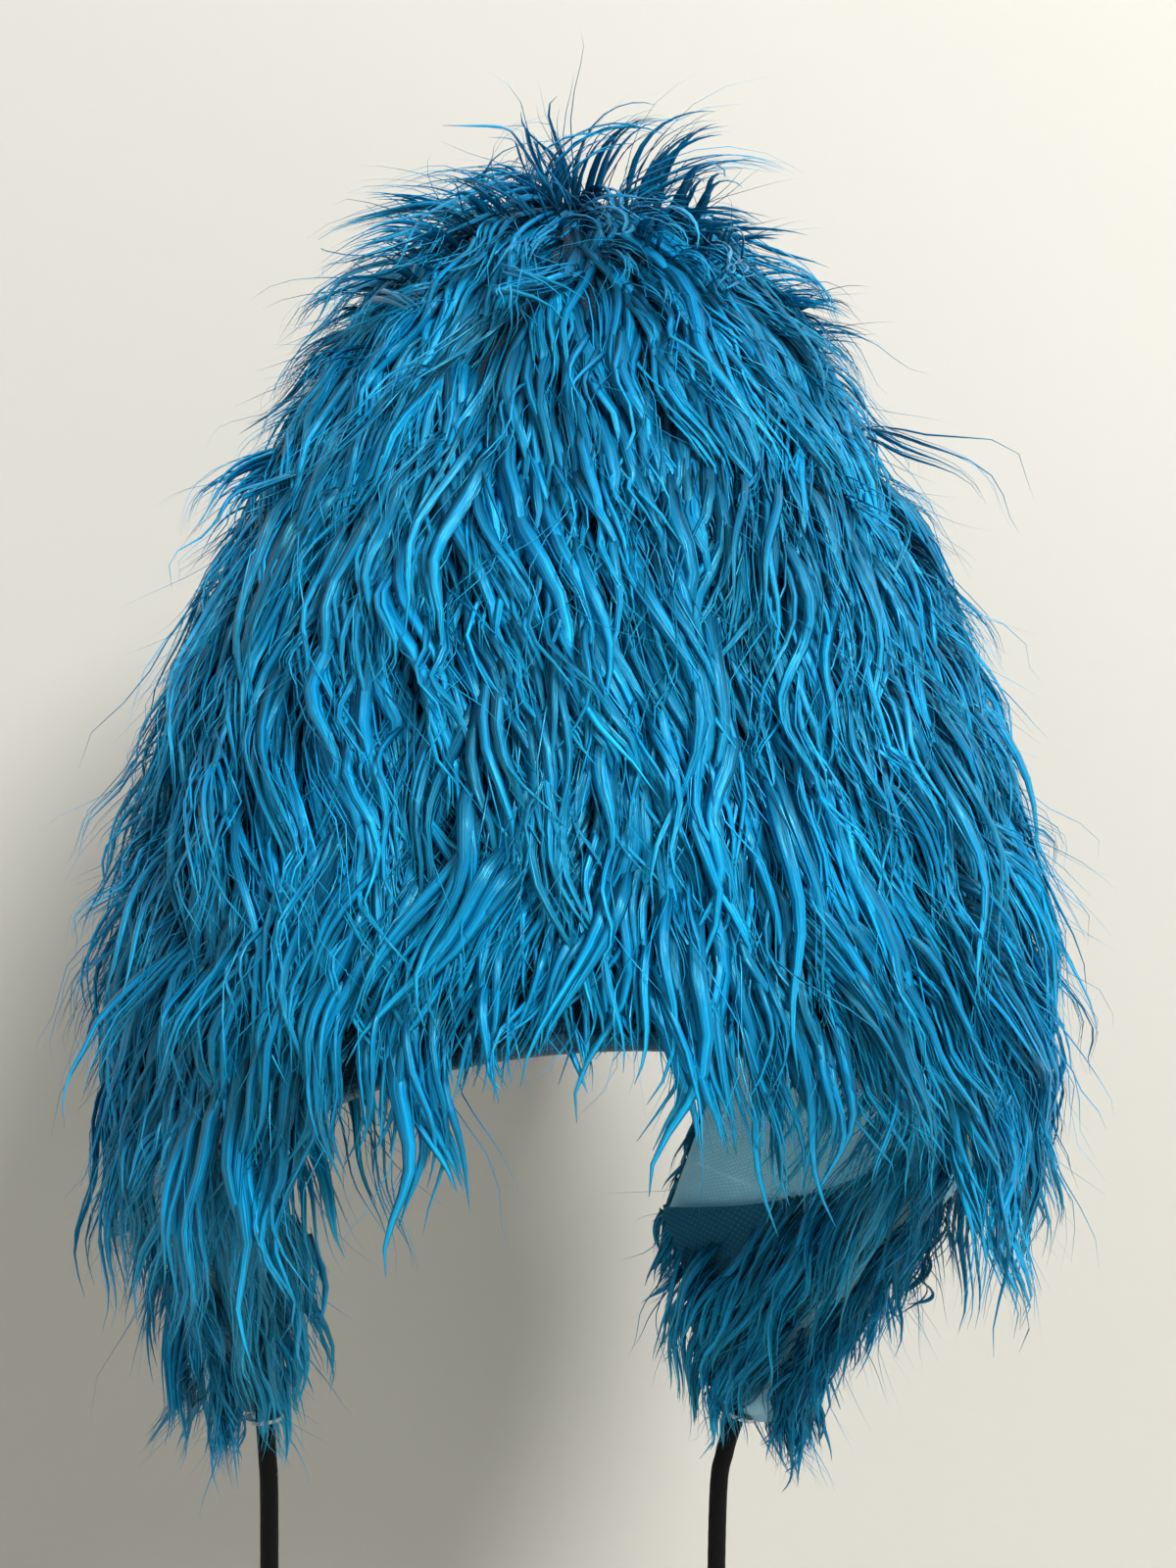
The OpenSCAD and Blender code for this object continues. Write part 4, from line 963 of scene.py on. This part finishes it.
def growPile(table, clumps, style, centre=(0, 0, 0)):
    # each strand follows the surface downwards by its length, swings across it in a growing wave,
    # stands off it by lift and flare, and draws in to its lock's middle towards the tip
    n, m, k = len(clumps["az"]), style["strands"], style["rings"]
    each = (n * m, 1)
    own = np.repeat(np.arange(n), m)
    t = np.linspace(0, 1, k)[None, :]
    of = {key: value[own][:, None] for key, value in clumps.items()}
    across = dice.normal(0, style["spread"], each)
    along = dice.normal(0, style["spread"], each)
    depth = dice.uniform(0, 1, each)
    length = of["length"] * dice.uniform(0.70, 1.06, each) * (0.82 + 0.18 * depth)
    stray = dice.random(each) < style["strays"]
    gather = 1 - style["gather"] * t**1.1 * np.where(stray, 0.1, 1)
    swing = of["swing"] * np.where(stray, dice.uniform(0.6, 1.6, each), 1) * t**0.7
    turn = 2 * np.pi * length * t / of["waveLength"] + of["phase"] + dice.normal(0, style["loose"], each)
    drift = of["drift"] + np.where(stray, dice.normal(0, 0.28, each), dice.normal(0, 0.05, each))
    w = across * gather + drift * length * t * (1 + 0.25 * t) + swing * np.sin(turn)
    stand = of["stand"] * (1 - 0.35 * t) * np.where(stray, 1.2, 1)
    s = np.abs(of["s"] + along * gather + length * t * (1 - 0.10 * drift**2) * np.cos(stand))
    lift = of["lift"] * (0.25 + 0.75 * depth) * (1 - np.exp(-t / 0.16))
    flare = (of["flare"] + np.where(stray, dice.uniform(0.002, 0.012, each), 0)) * t**2.2
    h = 0.0008 + lift * (1 - 0.35 * t**2) + flare + length * t * np.sin(stand) + 0.7 * swing * np.cos(turn)
    r = np.interp(s, table["s"], table["r"])
    h = np.clip(h, style.get("lowest", 0.0006), np.minimum(style["highest"], style.get("widest", 1.0) - r))
    lines, normals = onTable(table, s, of["az"] + w / np.maximum(r, 0.016), h, centre)
    # full near the root, then drawn out to a point
    full = np.clip((1 - t) / style["point"], 0, 1) ** 0.8 * (0.55 + 0.45 * np.clip(t / 0.2, 0, 1))
    size = style["width"] * dice.uniform(0.6, 1.4, each) * np.clip((length / 0.05) ** 0.6, 0.4, 1.1)
    # strands that lie lower in the pile are a little darker, as painted shade under the outer strands; the rest is tone
    # at random
    shade = of["tone"] * 0.6 + dice.uniform(0, 0.4, each) + 0.1 * (depth - 0.5)
    roll = np.broadcast_to(of["roll"] + dice.normal(0, style["twist"], each), (n * m, k))
    return {"lines": lines, "up": normals, "width": size * np.maximum(full, 0.04),
            "shade": np.clip(shade[:, 0], 0, 1), "roll": roll}


def clumpsOf(az, s, lengths, style):
    n = len(az)
    return {"az": az, "s": s, "length": lengths * dice.uniform(0.82, 1.15, n), "phase": dice.uniform(0, 2 * np.pi, n),
            "waveLength": dice.uniform(*style["waveLength"], n), "swing": dice.uniform(*style["swing"], n),
            "lift": dice.uniform(*style["lift"], n), "flare": dice.uniform(*style["flare"], n),
            "drift": np.zeros(n), "tone": dice.uniform(0, 1, n), "roll": dice.normal(0, 0.3, n), "stand": np.zeros(n)}


def keep(pileData, wanted):
    return {key: value[wanted] for key, value in pileData.items()}


def dressPile(name, pileData, body, section, material=pile, blend=None, shape=None):
    # cuts the strands into pieces of a moderate size and rides each on its body; a piece given a blend only has its
    # transform baked in
    count, rings = pileData["lines"].shape[:2]
    parts = max(1, math.ceil(count * (rings - 1) * len(section) * 2 / 185000))
    for number, chosen in enumerate(np.array_split(np.arange(count), parts), 1):
        part = keep(pileData, chosen)
        lines, up = part["lines"], part["up"]
        if shape:
            up = unit(shape(lines + up * 0.001) - shape(lines))
            lines = shape(lines)
        mesh = strandMesh(f"{name}{number}", lines, up, part["width"], part["shade"], section, part["roll"])
        piece = finishPiece(f"{name}{number}", mesh, material, body, "fur", gap=None)
        if blend:
            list(blend)
            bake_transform(piece)


def plantPile(name, title, table, clumps, styles, body, wanted=None, centre=(0, 0, 0), **how):
    # grows the loose strands and the broad ribbons of the same locks
    for style, section, kind in bothKinds(*styles):
        grown = growPile(table, clumps, style, centre)
        if wanted:
            grown = keep(grown, wanted(grown["lines"]))
        dressPile(name + kind + title, grown, body, section, **how)


def underCeiling(lines):
    return lines[:, :, 2].max(axis=1) < field["ceiling"]


def drawing(az, z, seed):
    # how far the locks lean to one side, in broad waves over the surface
    return waves(az * 3, z * 42, 6, 0.5, 1.7, seed)


def bothKinds(strandStyle, ribbonStyle):
    return ((strandStyle, strandSection, "Strands"), (ribbonStyle, ribbonSection, "Locks"))


# each lock is a few broad silky ribbons with loose strands over them
crownStyle = {"strands": 7, "rings": 8, "spread": 0.0038, "gather": 0.74, "strays": 0.16, "loose": 0.22, "twist": 0.3,
              "waveLength": (0.028, 0.048), "swing": (0.0016, 0.0040), "lift": (0.0035, 0.0125),
              "flare": (-0.001, 0.004), "highest": 0.027, "width": 0.00036, "point": 0.9}
ribbonLook = {"spread": 0.0034, "gather": 0.80, "strays": 0.0, "loose": 0.12, "twist": 0.22, "width": 0.00155,
              "point": 0.75}
crownRibbons = dict(crownStyle, **ribbonLook, strands=6, rings=11)
field = {"clumps": 1100, "length": 0.066, "topLength": 0.058, "faceAngle": 0.72, "faceTop": 0.118, "crestClumps": 84,
         "wispClumps": 620, "ceiling": 0.2262}
rootTable = bellTable(hat["clothRadius"] + 0.0012, hat["crownHeight"] + 0.001, 0.2)


def onRoots(s):
    # height and radius of the crown's surface at an arc length
    return np.interp(s, rootTable["s"], rootTable["z"]), np.interp(s, rootTable["s"], rootTable["r"])


az, s = spreadClumps(rootTable, field["clumps"], 0.002, np.interp(0.0115, -rootTable["z"], rootTable["s"]))
z, r = onRoots(s)
edge = windowEdge(az, r)
awake = z > edge + 0.002
az, s, z, r, edge = (v[awake] for v in (az, s, z, r, edge))
x, y = r * np.cos(az), r * np.sin(az)
n = len(az)
inFront = (y < 0) & (np.abs(np.arctan2(x, -y)) < field["faceAngle"])
atArch = (y > 0) & (np.abs(x) < 0.066)
atFace = inFront & (z < field["faceTop"])
nearFace = inFront & (z >= field["faceTop"])
length = np.where(s < 0.05, field["topLength"], field["length"])
# a gap in the fringe over the arch, and longer locks beside it
hang = np.where(np.abs(x - 0.016) < 0.019, 0.003 + 0.006 * dice.random(n), 0.012 + 0.026 * dice.random(n) ** 1.4)
length = np.where(atArch, np.minimum(length, (z - edge) + hang), length)
length = np.where(atFace, 0.018 + 0.006 * dice.random(n), length)
length = np.where(nearFace, np.minimum(length, 0.026 + (z - field["faceTop"])), length)
# the cheeks hang over the corners of the mouth
cheek = (y < 0) & (np.abs(x) > 0.040) & (np.abs(x) < 0.078) & (z < 0.055)
length = np.where(cheek, np.maximum(length, z + 0.020), length)
# locks above an eye stop at its rim
above = np.interp(-eyes["height"], -rootTable["z"], rootTable["s"]) - s
for around in eyeSides.values():
    beside = np.abs(np.angle(np.exp(1j * (az - around))) * r)
    toRim = above - np.sqrt(np.maximum(0.017**2 - np.minimum(beside, 0.017) ** 2, 0))
    over = (beside < 0.020) & (above > 0) & (above < 0.09)
    length = np.where(over, np.minimum(length, np.maximum(toRim, 0.006)), length)
length = np.maximum(length, 0.006)
clumps = clumpsOf(az, s, length, crownStyle)
bounded = atArch | atFace | (length < 0.05)
clumps["length"] = np.where(bounded, np.minimum(clumps["length"], length * 1.05), clumps["length"])
clumps["drift"] = 0.34 * drawing(az, z, 5) + 0.108 * dice.normal(0, 1, n)
clumps["phase"] = 5.0 * waves(az * 3.2, z * 46, 6, 0.5, 1.7, 77) + dice.normal(0, 0.5, n)
# locks stand up at the crown's point and lean out here and there lower down
standing = dice.random(n)
stand = np.where(standing < 0.30, dice.uniform(0.14, 0.48, n), 0)
stand = np.where((s < 0.105) & (standing < 0.42), dice.uniform(0.35, 0.85, n), stand)
stand = np.where((s < 0.034) & (standing < 0.65), dice.uniform(0.8, 1.4, n), stand)
clumps["stand"] = stand = np.where(atFace | atArch | (z < 0.02), 0, stand)
upright = np.minimum(clumps["length"], 0.026 + 0.018 * dice.random(n))
clumps["length"] = np.where(stand > 0.3, upright, clumps["length"])
clumps["lift"] = np.where(atFace, clumps["lift"] * 0.6, clumps["lift"]) * np.where((s > 0.015) & (s < 0.10), 0.6, 1)
clumps["lift"] = clumps["lift"] + 0.007 * np.clip(1 - s / 0.02, 0, 1)
clumps["swing"] = clumps["swing"] * np.clip(clumps["length"] / 0.05, 0.3, 1)
tone = 0.5 + 0.5 * waves(az * 4, z * 55, 5, 0.5, 1.6, 9) + 0.25 * dice.normal(0, 1, n)
clumps["tone"] = np.clip(tone, 0, 1)
# an upright tuft at the crown's point
n = field["crestClumps"]
crestStyle = dict(crownStyle, strands=9, highest=0.045, waveLength=(0.022, 0.040), swing=(0.0010, 0.0034))
crestRibbons = dict(crownRibbons, highest=0.045, width=0.0013, strands=5)
az, s = spreadClumps(rootTable, n, 0.0008, 0.062)
crest = clumpsOf(az, s, dice.uniform(0.022, 0.037, n), crestStyle)
crest["stand"] = np.clip(1.42 - s * 13 + dice.normal(0, 0.18, n), 0.45, 1.5)
crest["drift"] = dice.normal(0, 0.5, n)
crest["lift"] = crest["lift"] * 0.6
crownPiles = [growPile(rootTable, clumps, style) for style in (crownStyle, crownRibbons)]
crestPiles = [growPile(rootTable, crest, style) for style in (crestStyle, crestRibbons)]
for pileData, section, title in bothKinds(*crestPiles):
    dressPile("crest" + title, keep(pileData, underCeiling(pileData["lines"])), "crown", section)
# curly wisps that stand out of the pile all over
wispStyle = dict(crownStyle, strands=5, rings=9, spread=0.0022, gather=0.86, strays=0.10, loose=0.2, width=0.00034,
                 waveLength=(0.017, 0.034), swing=(0.0016, 0.0044), lift=(0.004, 0.010), flare=(0.0, 0.004),
                 highest=0.036, widest=0.1312)
wispRibbons = dict(wispStyle, strands=3, rings=10, strays=0.0, width=0.0010, point=0.85)
az, s = spreadClumps(rootTable, field["wispClumps"], 0.03, rootTable["s"][-1])
z, r = onRoots(s)
free = (z > windowEdge(az, r) + 0.022) & ((np.sin(az) > -0.70) | (z > 0.125))
az, s, z = az[free], s[free], z[free]
n = len(az)
wisps = clumpsOf(az, s, dice.uniform(0.024, 0.044, n), wispStyle)
wisps["stand"] = dice.uniform(0.30, 0.95, n) * (0.25 + 0.75 * np.abs(np.cos(az)) ** 2)
wisps["drift"] = 0.34 * drawing(az, z, 5) + dice.normal(0, 0.09, n)
wisps["phase"] = 5.0 * waves(az * 3.2, z * 46, 6, 0.5, 1.7, 77) + dice.normal(0, 0.5, n)
tone = 0.55 + 0.5 * waves(az * 4, z * 55, 5, 0.5, 1.6, 9) + 0.2 * dice.normal(0, 1, n)
wisps["tone"] = np.clip(tone, 0, 1)
plantPile("wisp", "", rootTable, wisps, (wispStyle, wispRibbons), "crown", underCeiling)


def clearOf(lines, spot, axis, reach):
    # true for the strands that stay out of a cylinder about the axis
    gap = lines - spot
    off = gap - (gap @ axis)[..., None] * axis
    return (np.linalg.norm(off, axis=-1) > reach).all(axis=1) | ((gap @ axis) < -0.01).all(axis=1)


for pileData, section, title in bothKinds(*crownPiles):
    # no strand lies over an eye
    free = np.ones(len(pileData["lines"]), dtype=bool)
    for around in eyeSides.values():
        spot = np.array([0.089 * math.cos(around), 0.089 * math.sin(around), eyes["height"]])
        free &= clearOf(pileData["lines"], spot, eyeAxis(around), 0.0146)
    pileData = keep(pileData, free)
    root = pileData["lines"][:, 0]
    over = (pileData["lines"][:, :, 2].min(axis=1) < -0.010) & (np.abs(root[:, 0]) > 0.052) & (root[:, 1] > -0.088)
    dressPile("crown" + title, keep(pileData, ~over), "crown", section)
    for sideName, flap in flaps.items():
        start = hat["clothRadius"] * flap["side"]
        dressPile("side" + title + sideName.capitalize(), keep(pileData, over & (root[:, 0] * flap["side"] > 0)), None,
                  section, blend=("crown", "flap_" + sideName, (start, 0, 0.010), (start, 0, -0.040)))

flapStyle = dict(crownStyle, strands=6, lift=(0.003, 0.0100), flare=(-0.001, 0.005), highest=0.022)
flapRibbons = dict(flapStyle, **ribbonLook)
flapRibbons.update(strands=5, rings=12)
edgeStyle = dict(flapStyle, strands=4, spread=0.0024, lowest=-0.006)
edgeRibbons = dict(edgeStyle, strands=3, rings=11, strays=0.0, loose=0.12, width=0.0014, point=0.75)
facingStyle = dict(flapStyle, strands=8, rings=10, spread=0.0036, waveLength=(0.022, 0.036), swing=(0.0012, 0.0032),
                   lift=(0.002, 0.008), flare=(0.0, 0.004), highest=0.016, strays=0.22, width=0.0004)
facingRibbons = dict(facingStyle, strands=5, strays=0.0, loose=0.12, width=0.0015, point=0.75)
pileWalls = {"outer": 0.1062, "edge": 0.1000, "facing": flapWalls["facingFront"], "step": 0.0105, "edgeLocks": 64,
             "frontLocks": 44}


def wallTable(radius):
    return profileTable([radius, radius], [0.0, -0.4])


def onWall(y, z, lengths, style, radius):
    return clumpsOf(np.arcsin(np.clip(y / radius, -1, 1)), -z, lengths, style)


for sideName, flap in flaps.items():
    title, body = sideName.capitalize(), "flap_" + sideName
    frontOf, backOf = flapEdges(flap["length"])
    bottom = hat["rim"] - flap["length"]

    def hangStrands(points, flap=flap):
        # follows the leaning flap, then falls straight once past its edge
        p = hangFlap(points, flap)
        past = np.clip(-0.012 - points[..., 2] - flap["length"] * 0.9, 0, 1)
        p[..., 0] += flap["side"] * math.sin(flap["lean"]) * past
        return p

    # a staggered net of locks over the outline
    step = pileWalls["step"]
    z, y = np.meshgrid(np.arange(-0.014, bottom, -step), np.arange(-0.078, 0.084, step * 1.05), indexing="ij")
    y = y + np.where(np.arange(z.shape[0]) % 2, step / 2, 0)[:, None]
    z, y = ((v + dice.uniform(-0.3, 0.3, v.shape) * step).ravel() for v in (z, y))
    inside = (y > frontOf(z)) & (y < backOf(z)) & (z > bottom)
    z, y = z[inside], y[inside]
    n = len(z)
    # locks near the free edges hang only a little past them
    down = np.linspace(bottom, -0.012, 80)
    lowest = np.where(y > flapShape["tipY"], np.interp(y, backOf(down), down), bottom)
    lengths = np.minimum(0.052, np.maximum(z - lowest, 0) + 0.004 + 0.010 * dice.random(n))
    locks = onWall(y, z, lengths, flapStyle, pileWalls["outer"])
    locks["drift"] = 0.28 * waves(y * 60, z * 50, 5, 0.5, 1.5, 31)
    tone = 0.45 + 0.5 * waves(y * 70, z * 60, 5, 0.5, 1.5, 17) + 0.25 * dice.normal(0, 1, n)
    locks["tone"] = np.clip(tone, 0, 1)
    locks["phase"] = 5.0 * waves(y * 34, z * 46, 6, 0.5, 1.7, 78) + dice.normal(0, 0.5, n)
    locks["flare"] = np.where(dice.random(n) < 0.30, dice.uniform(0.004, 0.013, n), locks["flare"])
    locks["stand"] = np.where(dice.random(n) < 0.16, dice.uniform(0.10, 0.30, n), 0)
    plantPile("flap", title, wallTable(pileWalls["outer"]), locks, (flapStyle, flapRibbons), body, shape=hangStrands)

    # locks that hang over the free edges and hide their fold
    backN, frontN = 2 * pileWalls["edgeLocks"], 2 * pileWalls["frontLocks"]
    edgeZ = np.repeat(np.linspace(-0.016, bottom + 0.004, backN // 2), 2) + dice.uniform(-0.0012, 0.0012, backN)
    edgeY = backOf(edgeZ) + dice.uniform(0.0, 0.0035, backN)
    frontZ = np.repeat(np.linspace(-0.018, bottom + flapShape["tipRadius"], frontN // 2), 2)
    frontY = frontOf(frontZ) - dice.uniform(0.0, 0.003, frontN)
    ahead = onWall(frontY, frontZ, np.minimum(0.022, frontZ - bottom + 0.004), flapStyle, pileWalls["edge"])
    ahead.update(lift=dice.uniform(0.001, 0.006, frontN), flare=np.zeros(frontN), drift=dice.normal(0, 0.12, frontN))
    behind = onWall(edgeY, edgeZ, np.minimum(0.026, edgeZ - bottom + 0.010), flapStyle, pileWalls["edge"])
    behind.update(lift=dice.uniform(-0.008, 0.003, backN), flare=dice.uniform(-0.003, 0.001, backN),
                  drift=dice.normal(0, 0.22, backN))
    rimLocks = {key: np.concatenate([behind[key], ahead[key]]) for key in behind}
    plantPile("edge", title, wallTable(pileWalls["edge"]), rimLocks, (edgeStyle, edgeRibbons), body, shape=hangStrands)

    # short curly locks on the facing, which turn inwards
    below = z < seamHeight(flap, y) + 0.0005
    z, y = z[below], y[below]
    insideTable = wallTable(pileWalls["facing"])
    insideTable["nr"] = -insideTable["nr"]
    lengths = np.minimum(0.044, z - bottom + 0.010 + 0.008 * dice.random(len(z)))
    curls = onWall(y, z, lengths, facingStyle, pileWalls["facing"])
    curls["drift"] = 0.25 * waves(y * 60, z * 50, 5, 0.5, 1.5, 37)
    plantPile("facing", title, insideTable, curls, (facingStyle, facingRibbons), body, material=facingPile,
              shape=hangStrands)

shortStyle = dict(crownStyle, strands=5, rings=7, spread=0.0026, gather=0.6, strays=0.12, waveLength=(0.016, 0.028),
                  swing=(0.0004, 0.0012), lift=(0.003, 0.007), flare=(0.0, 0.0035), highest=0.014)
shortRibbons = dict(shortStyle, strands=4, rings=8, strays=0.0, loose=0.12, width=0.0024, point=0.75)
shortField = {"clumps": 420, "skirt": 0.034, "lip": 0.030}


def shortPhase(az, s, seed):
    return 4 * waves(az * 3, s * 60, 5, 0.5, 1.5, seed) + dice.normal(0, 0.4, len(az))


muzzleRoots = domeTable(face["palateRadius"] + 0.0014, face["muzzleHeight"] + 0.0014, face["muzzleTop"],
                        shortField["skirt"])
lipS = muzzleRoots["s"][-1] - shortField["lip"]
az, s = spreadClumps(muzzleRoots, shortField["clumps"], 0.001, lipS)
# longer at the sides, where the pile runs into the cheeks
aside = np.clip((np.abs(np.cos(az)) - 0.62) / 0.26, 0, 1)
toLip = (lipS - s) + 0.003 + 0.003 * dice.random(len(az)) + 0.020 * aside
locks = clumpsOf(az, s, np.minimum(0.020 + 0.018 * aside, toLip), shortStyle)
locks["lift"] = locks["lift"] + 0.003 * aside
locks["phase"] = shortPhase(az, s, 81)
locks["drift"] = 0.3 * waves(az * 2.5, s * 50, 5, 0.5, 1.5, 83)


def outsideCrown(lines):
    # none starts inside the crown or lies over the nose
    root = lines[:, 0]
    outside = np.hypot(root[:, 0], root[:, 1]) > crownRadiusAt(root[:, 2]) + 0.001
    return outside & clearOf(lines, noseOrigin, noseAxis, 0.0115)


plantPile("muzzle", "", muzzleRoots, locks, (shortStyle, shortRibbons), "crown", outsideCrown, (0, mouthY, 0))

a = np.radians(np.linspace(0, 88, 120))
chinR = face["jawRadius"] * np.cos(a) ** 0.8 + 0.0012
chinZ = -0.001 - (face["chinHeight"] + 0.001) * np.sin(a) ** 0.9
chinRoots = profileTable(np.concatenate([[face["jawRadius"] + 0.0012], chinR]), np.concatenate([[0.002], chinZ]))
az, s = spreadClumps(chinRoots, shortField["clumps"], 0.0, chinRoots["s"][-1] * 0.96)
locks = clumpsOf(az, s, np.full(len(az), 0.018), shortStyle)
locks["phase"] = shortPhase(az, s, 85)
locks["flare"] = locks["flare"] * 0.5


def beforeWall(lines):
    # none starts behind the chin's sloping wall
    root = lines[:, 0]
    return root[:, 1] < -0.1175 + np.minimum(root[:, 2] + 0.001, 0) * face["wallSlope"] - 0.002


plantPile("chin", "", chinRoots, locks, (shortStyle, shortRibbons), "jaw", beforeWall, (0, mouthY, 0))

print("stage")
stageLook = {"wallY": -0.205, "floorZ": -0.366, "wallHalf": 2.2, "wallTop": 2.0, "floorHalf": 1.5, "wall": "#cbc9c1",
             "floor": "#cfcdc6", "backdrop": (0.80, 0.79, 0.75, 1), "room": 0.19}


def stagePlane(name, corners, colour, oneSided):
    mesh = buildMesh(name, np.array(corners, dtype=float), [np.array([[0, 1, 2, 3]])])
    material, add, surface = newMaterial(name, {"Roughness": 0.9, "Specular IOR Level": 0.2,
                                                 "Base Color": hexColour(colour)})
    place = add("TexCoord", out="Object")
    rough = add("TexNoise", {"Vector": place, "Scale": 60.0, "Detail": 4.0})
    feed(surface, {"Normal": add("Bump", {"Strength": 0.15, "Distance": 0.001, "Height": rough})})
    if oneSided:
        # seen and lit from its front only, so that the other views look past it
        back, clear = add("NewGeometry", out="Backfacing"), add("BsdfTransparent")
        end = material.node_tree.nodes["Material Output"]
        feed(end, {"Surface": add("MixShader", (back, surface.outputs[0], clear))})
    mesh.materials.append(material)
    plane = bpy.data.objects.new(name, mesh)
    scene.collection.objects.link(plane)


wallY, floorZ, top = stageLook["wallY"], stageLook["floorZ"], stageLook["wallTop"]
w, f = stageLook["wallHalf"], stageLook["floorHalf"]
wallCorners = [(w, wallY, floorZ), (-w, wallY, floorZ), (-w, wallY, top), (w, wallY, top)]
stagePlane("wall", wallCorners, stageLook["wall"], True)
stagePlane("floor", [(-f, -f, floorZ), (f, -f, floorZ), (f, f, floorZ), (-f, f, floorZ)], stageLook["floor"], False)

for name, position, size, watts in (("keyLamp", (-0.8, 1.4, 1.25), 0.7, 56), ("fillLamp", (1.1, 1.3, 0.7), 1.2, 5),
                                    ("faceLamp", (0.4, -1.6, 0.9), 1.2, 26)):
    data = bpy.data.lights.new(name, "AREA")
    data.shape, data.size, data.energy = "DISK", size, watts
    lamp = bpy.data.objects.new(name, data)
    scene.collection.objects.link(lamp)
    lamp.location = position
    lamp.rotation_euler = (math.acos(position[2] / np.linalg.norm(position)), 0,
                           math.atan2(position[1], position[0]) + math.pi / 2)

world = bpy.data.worlds.new("room")
scene.world = world
world.use_nodes = True
add = partial(addNode, world.node_tree)
room = world.node_tree.nodes["Background"]
feed(room, {"Color": (1, 1, 1, 1), "Strength": stageLook["room"]})
# a pale backdrop for the camera, gloss and glass, which adds no light of its own
backdrop = add("Background", {"Color": stageLook["backdrop"], "Strength": 1.0})
rays = add("LightPath").node.outputs
mirrored = add("Math", (rays["Is Glossy Ray"], rays["Is Transmission Ray"]), operation="MAXIMUM")
direct = add("Math", (rays["Is Camera Ray"], mirrored), operation="MAXIMUM")
feed(world.node_tree.nodes["World Output"], {"Surface": add("MixShader", (direct, room.outputs[0], backdrop))})
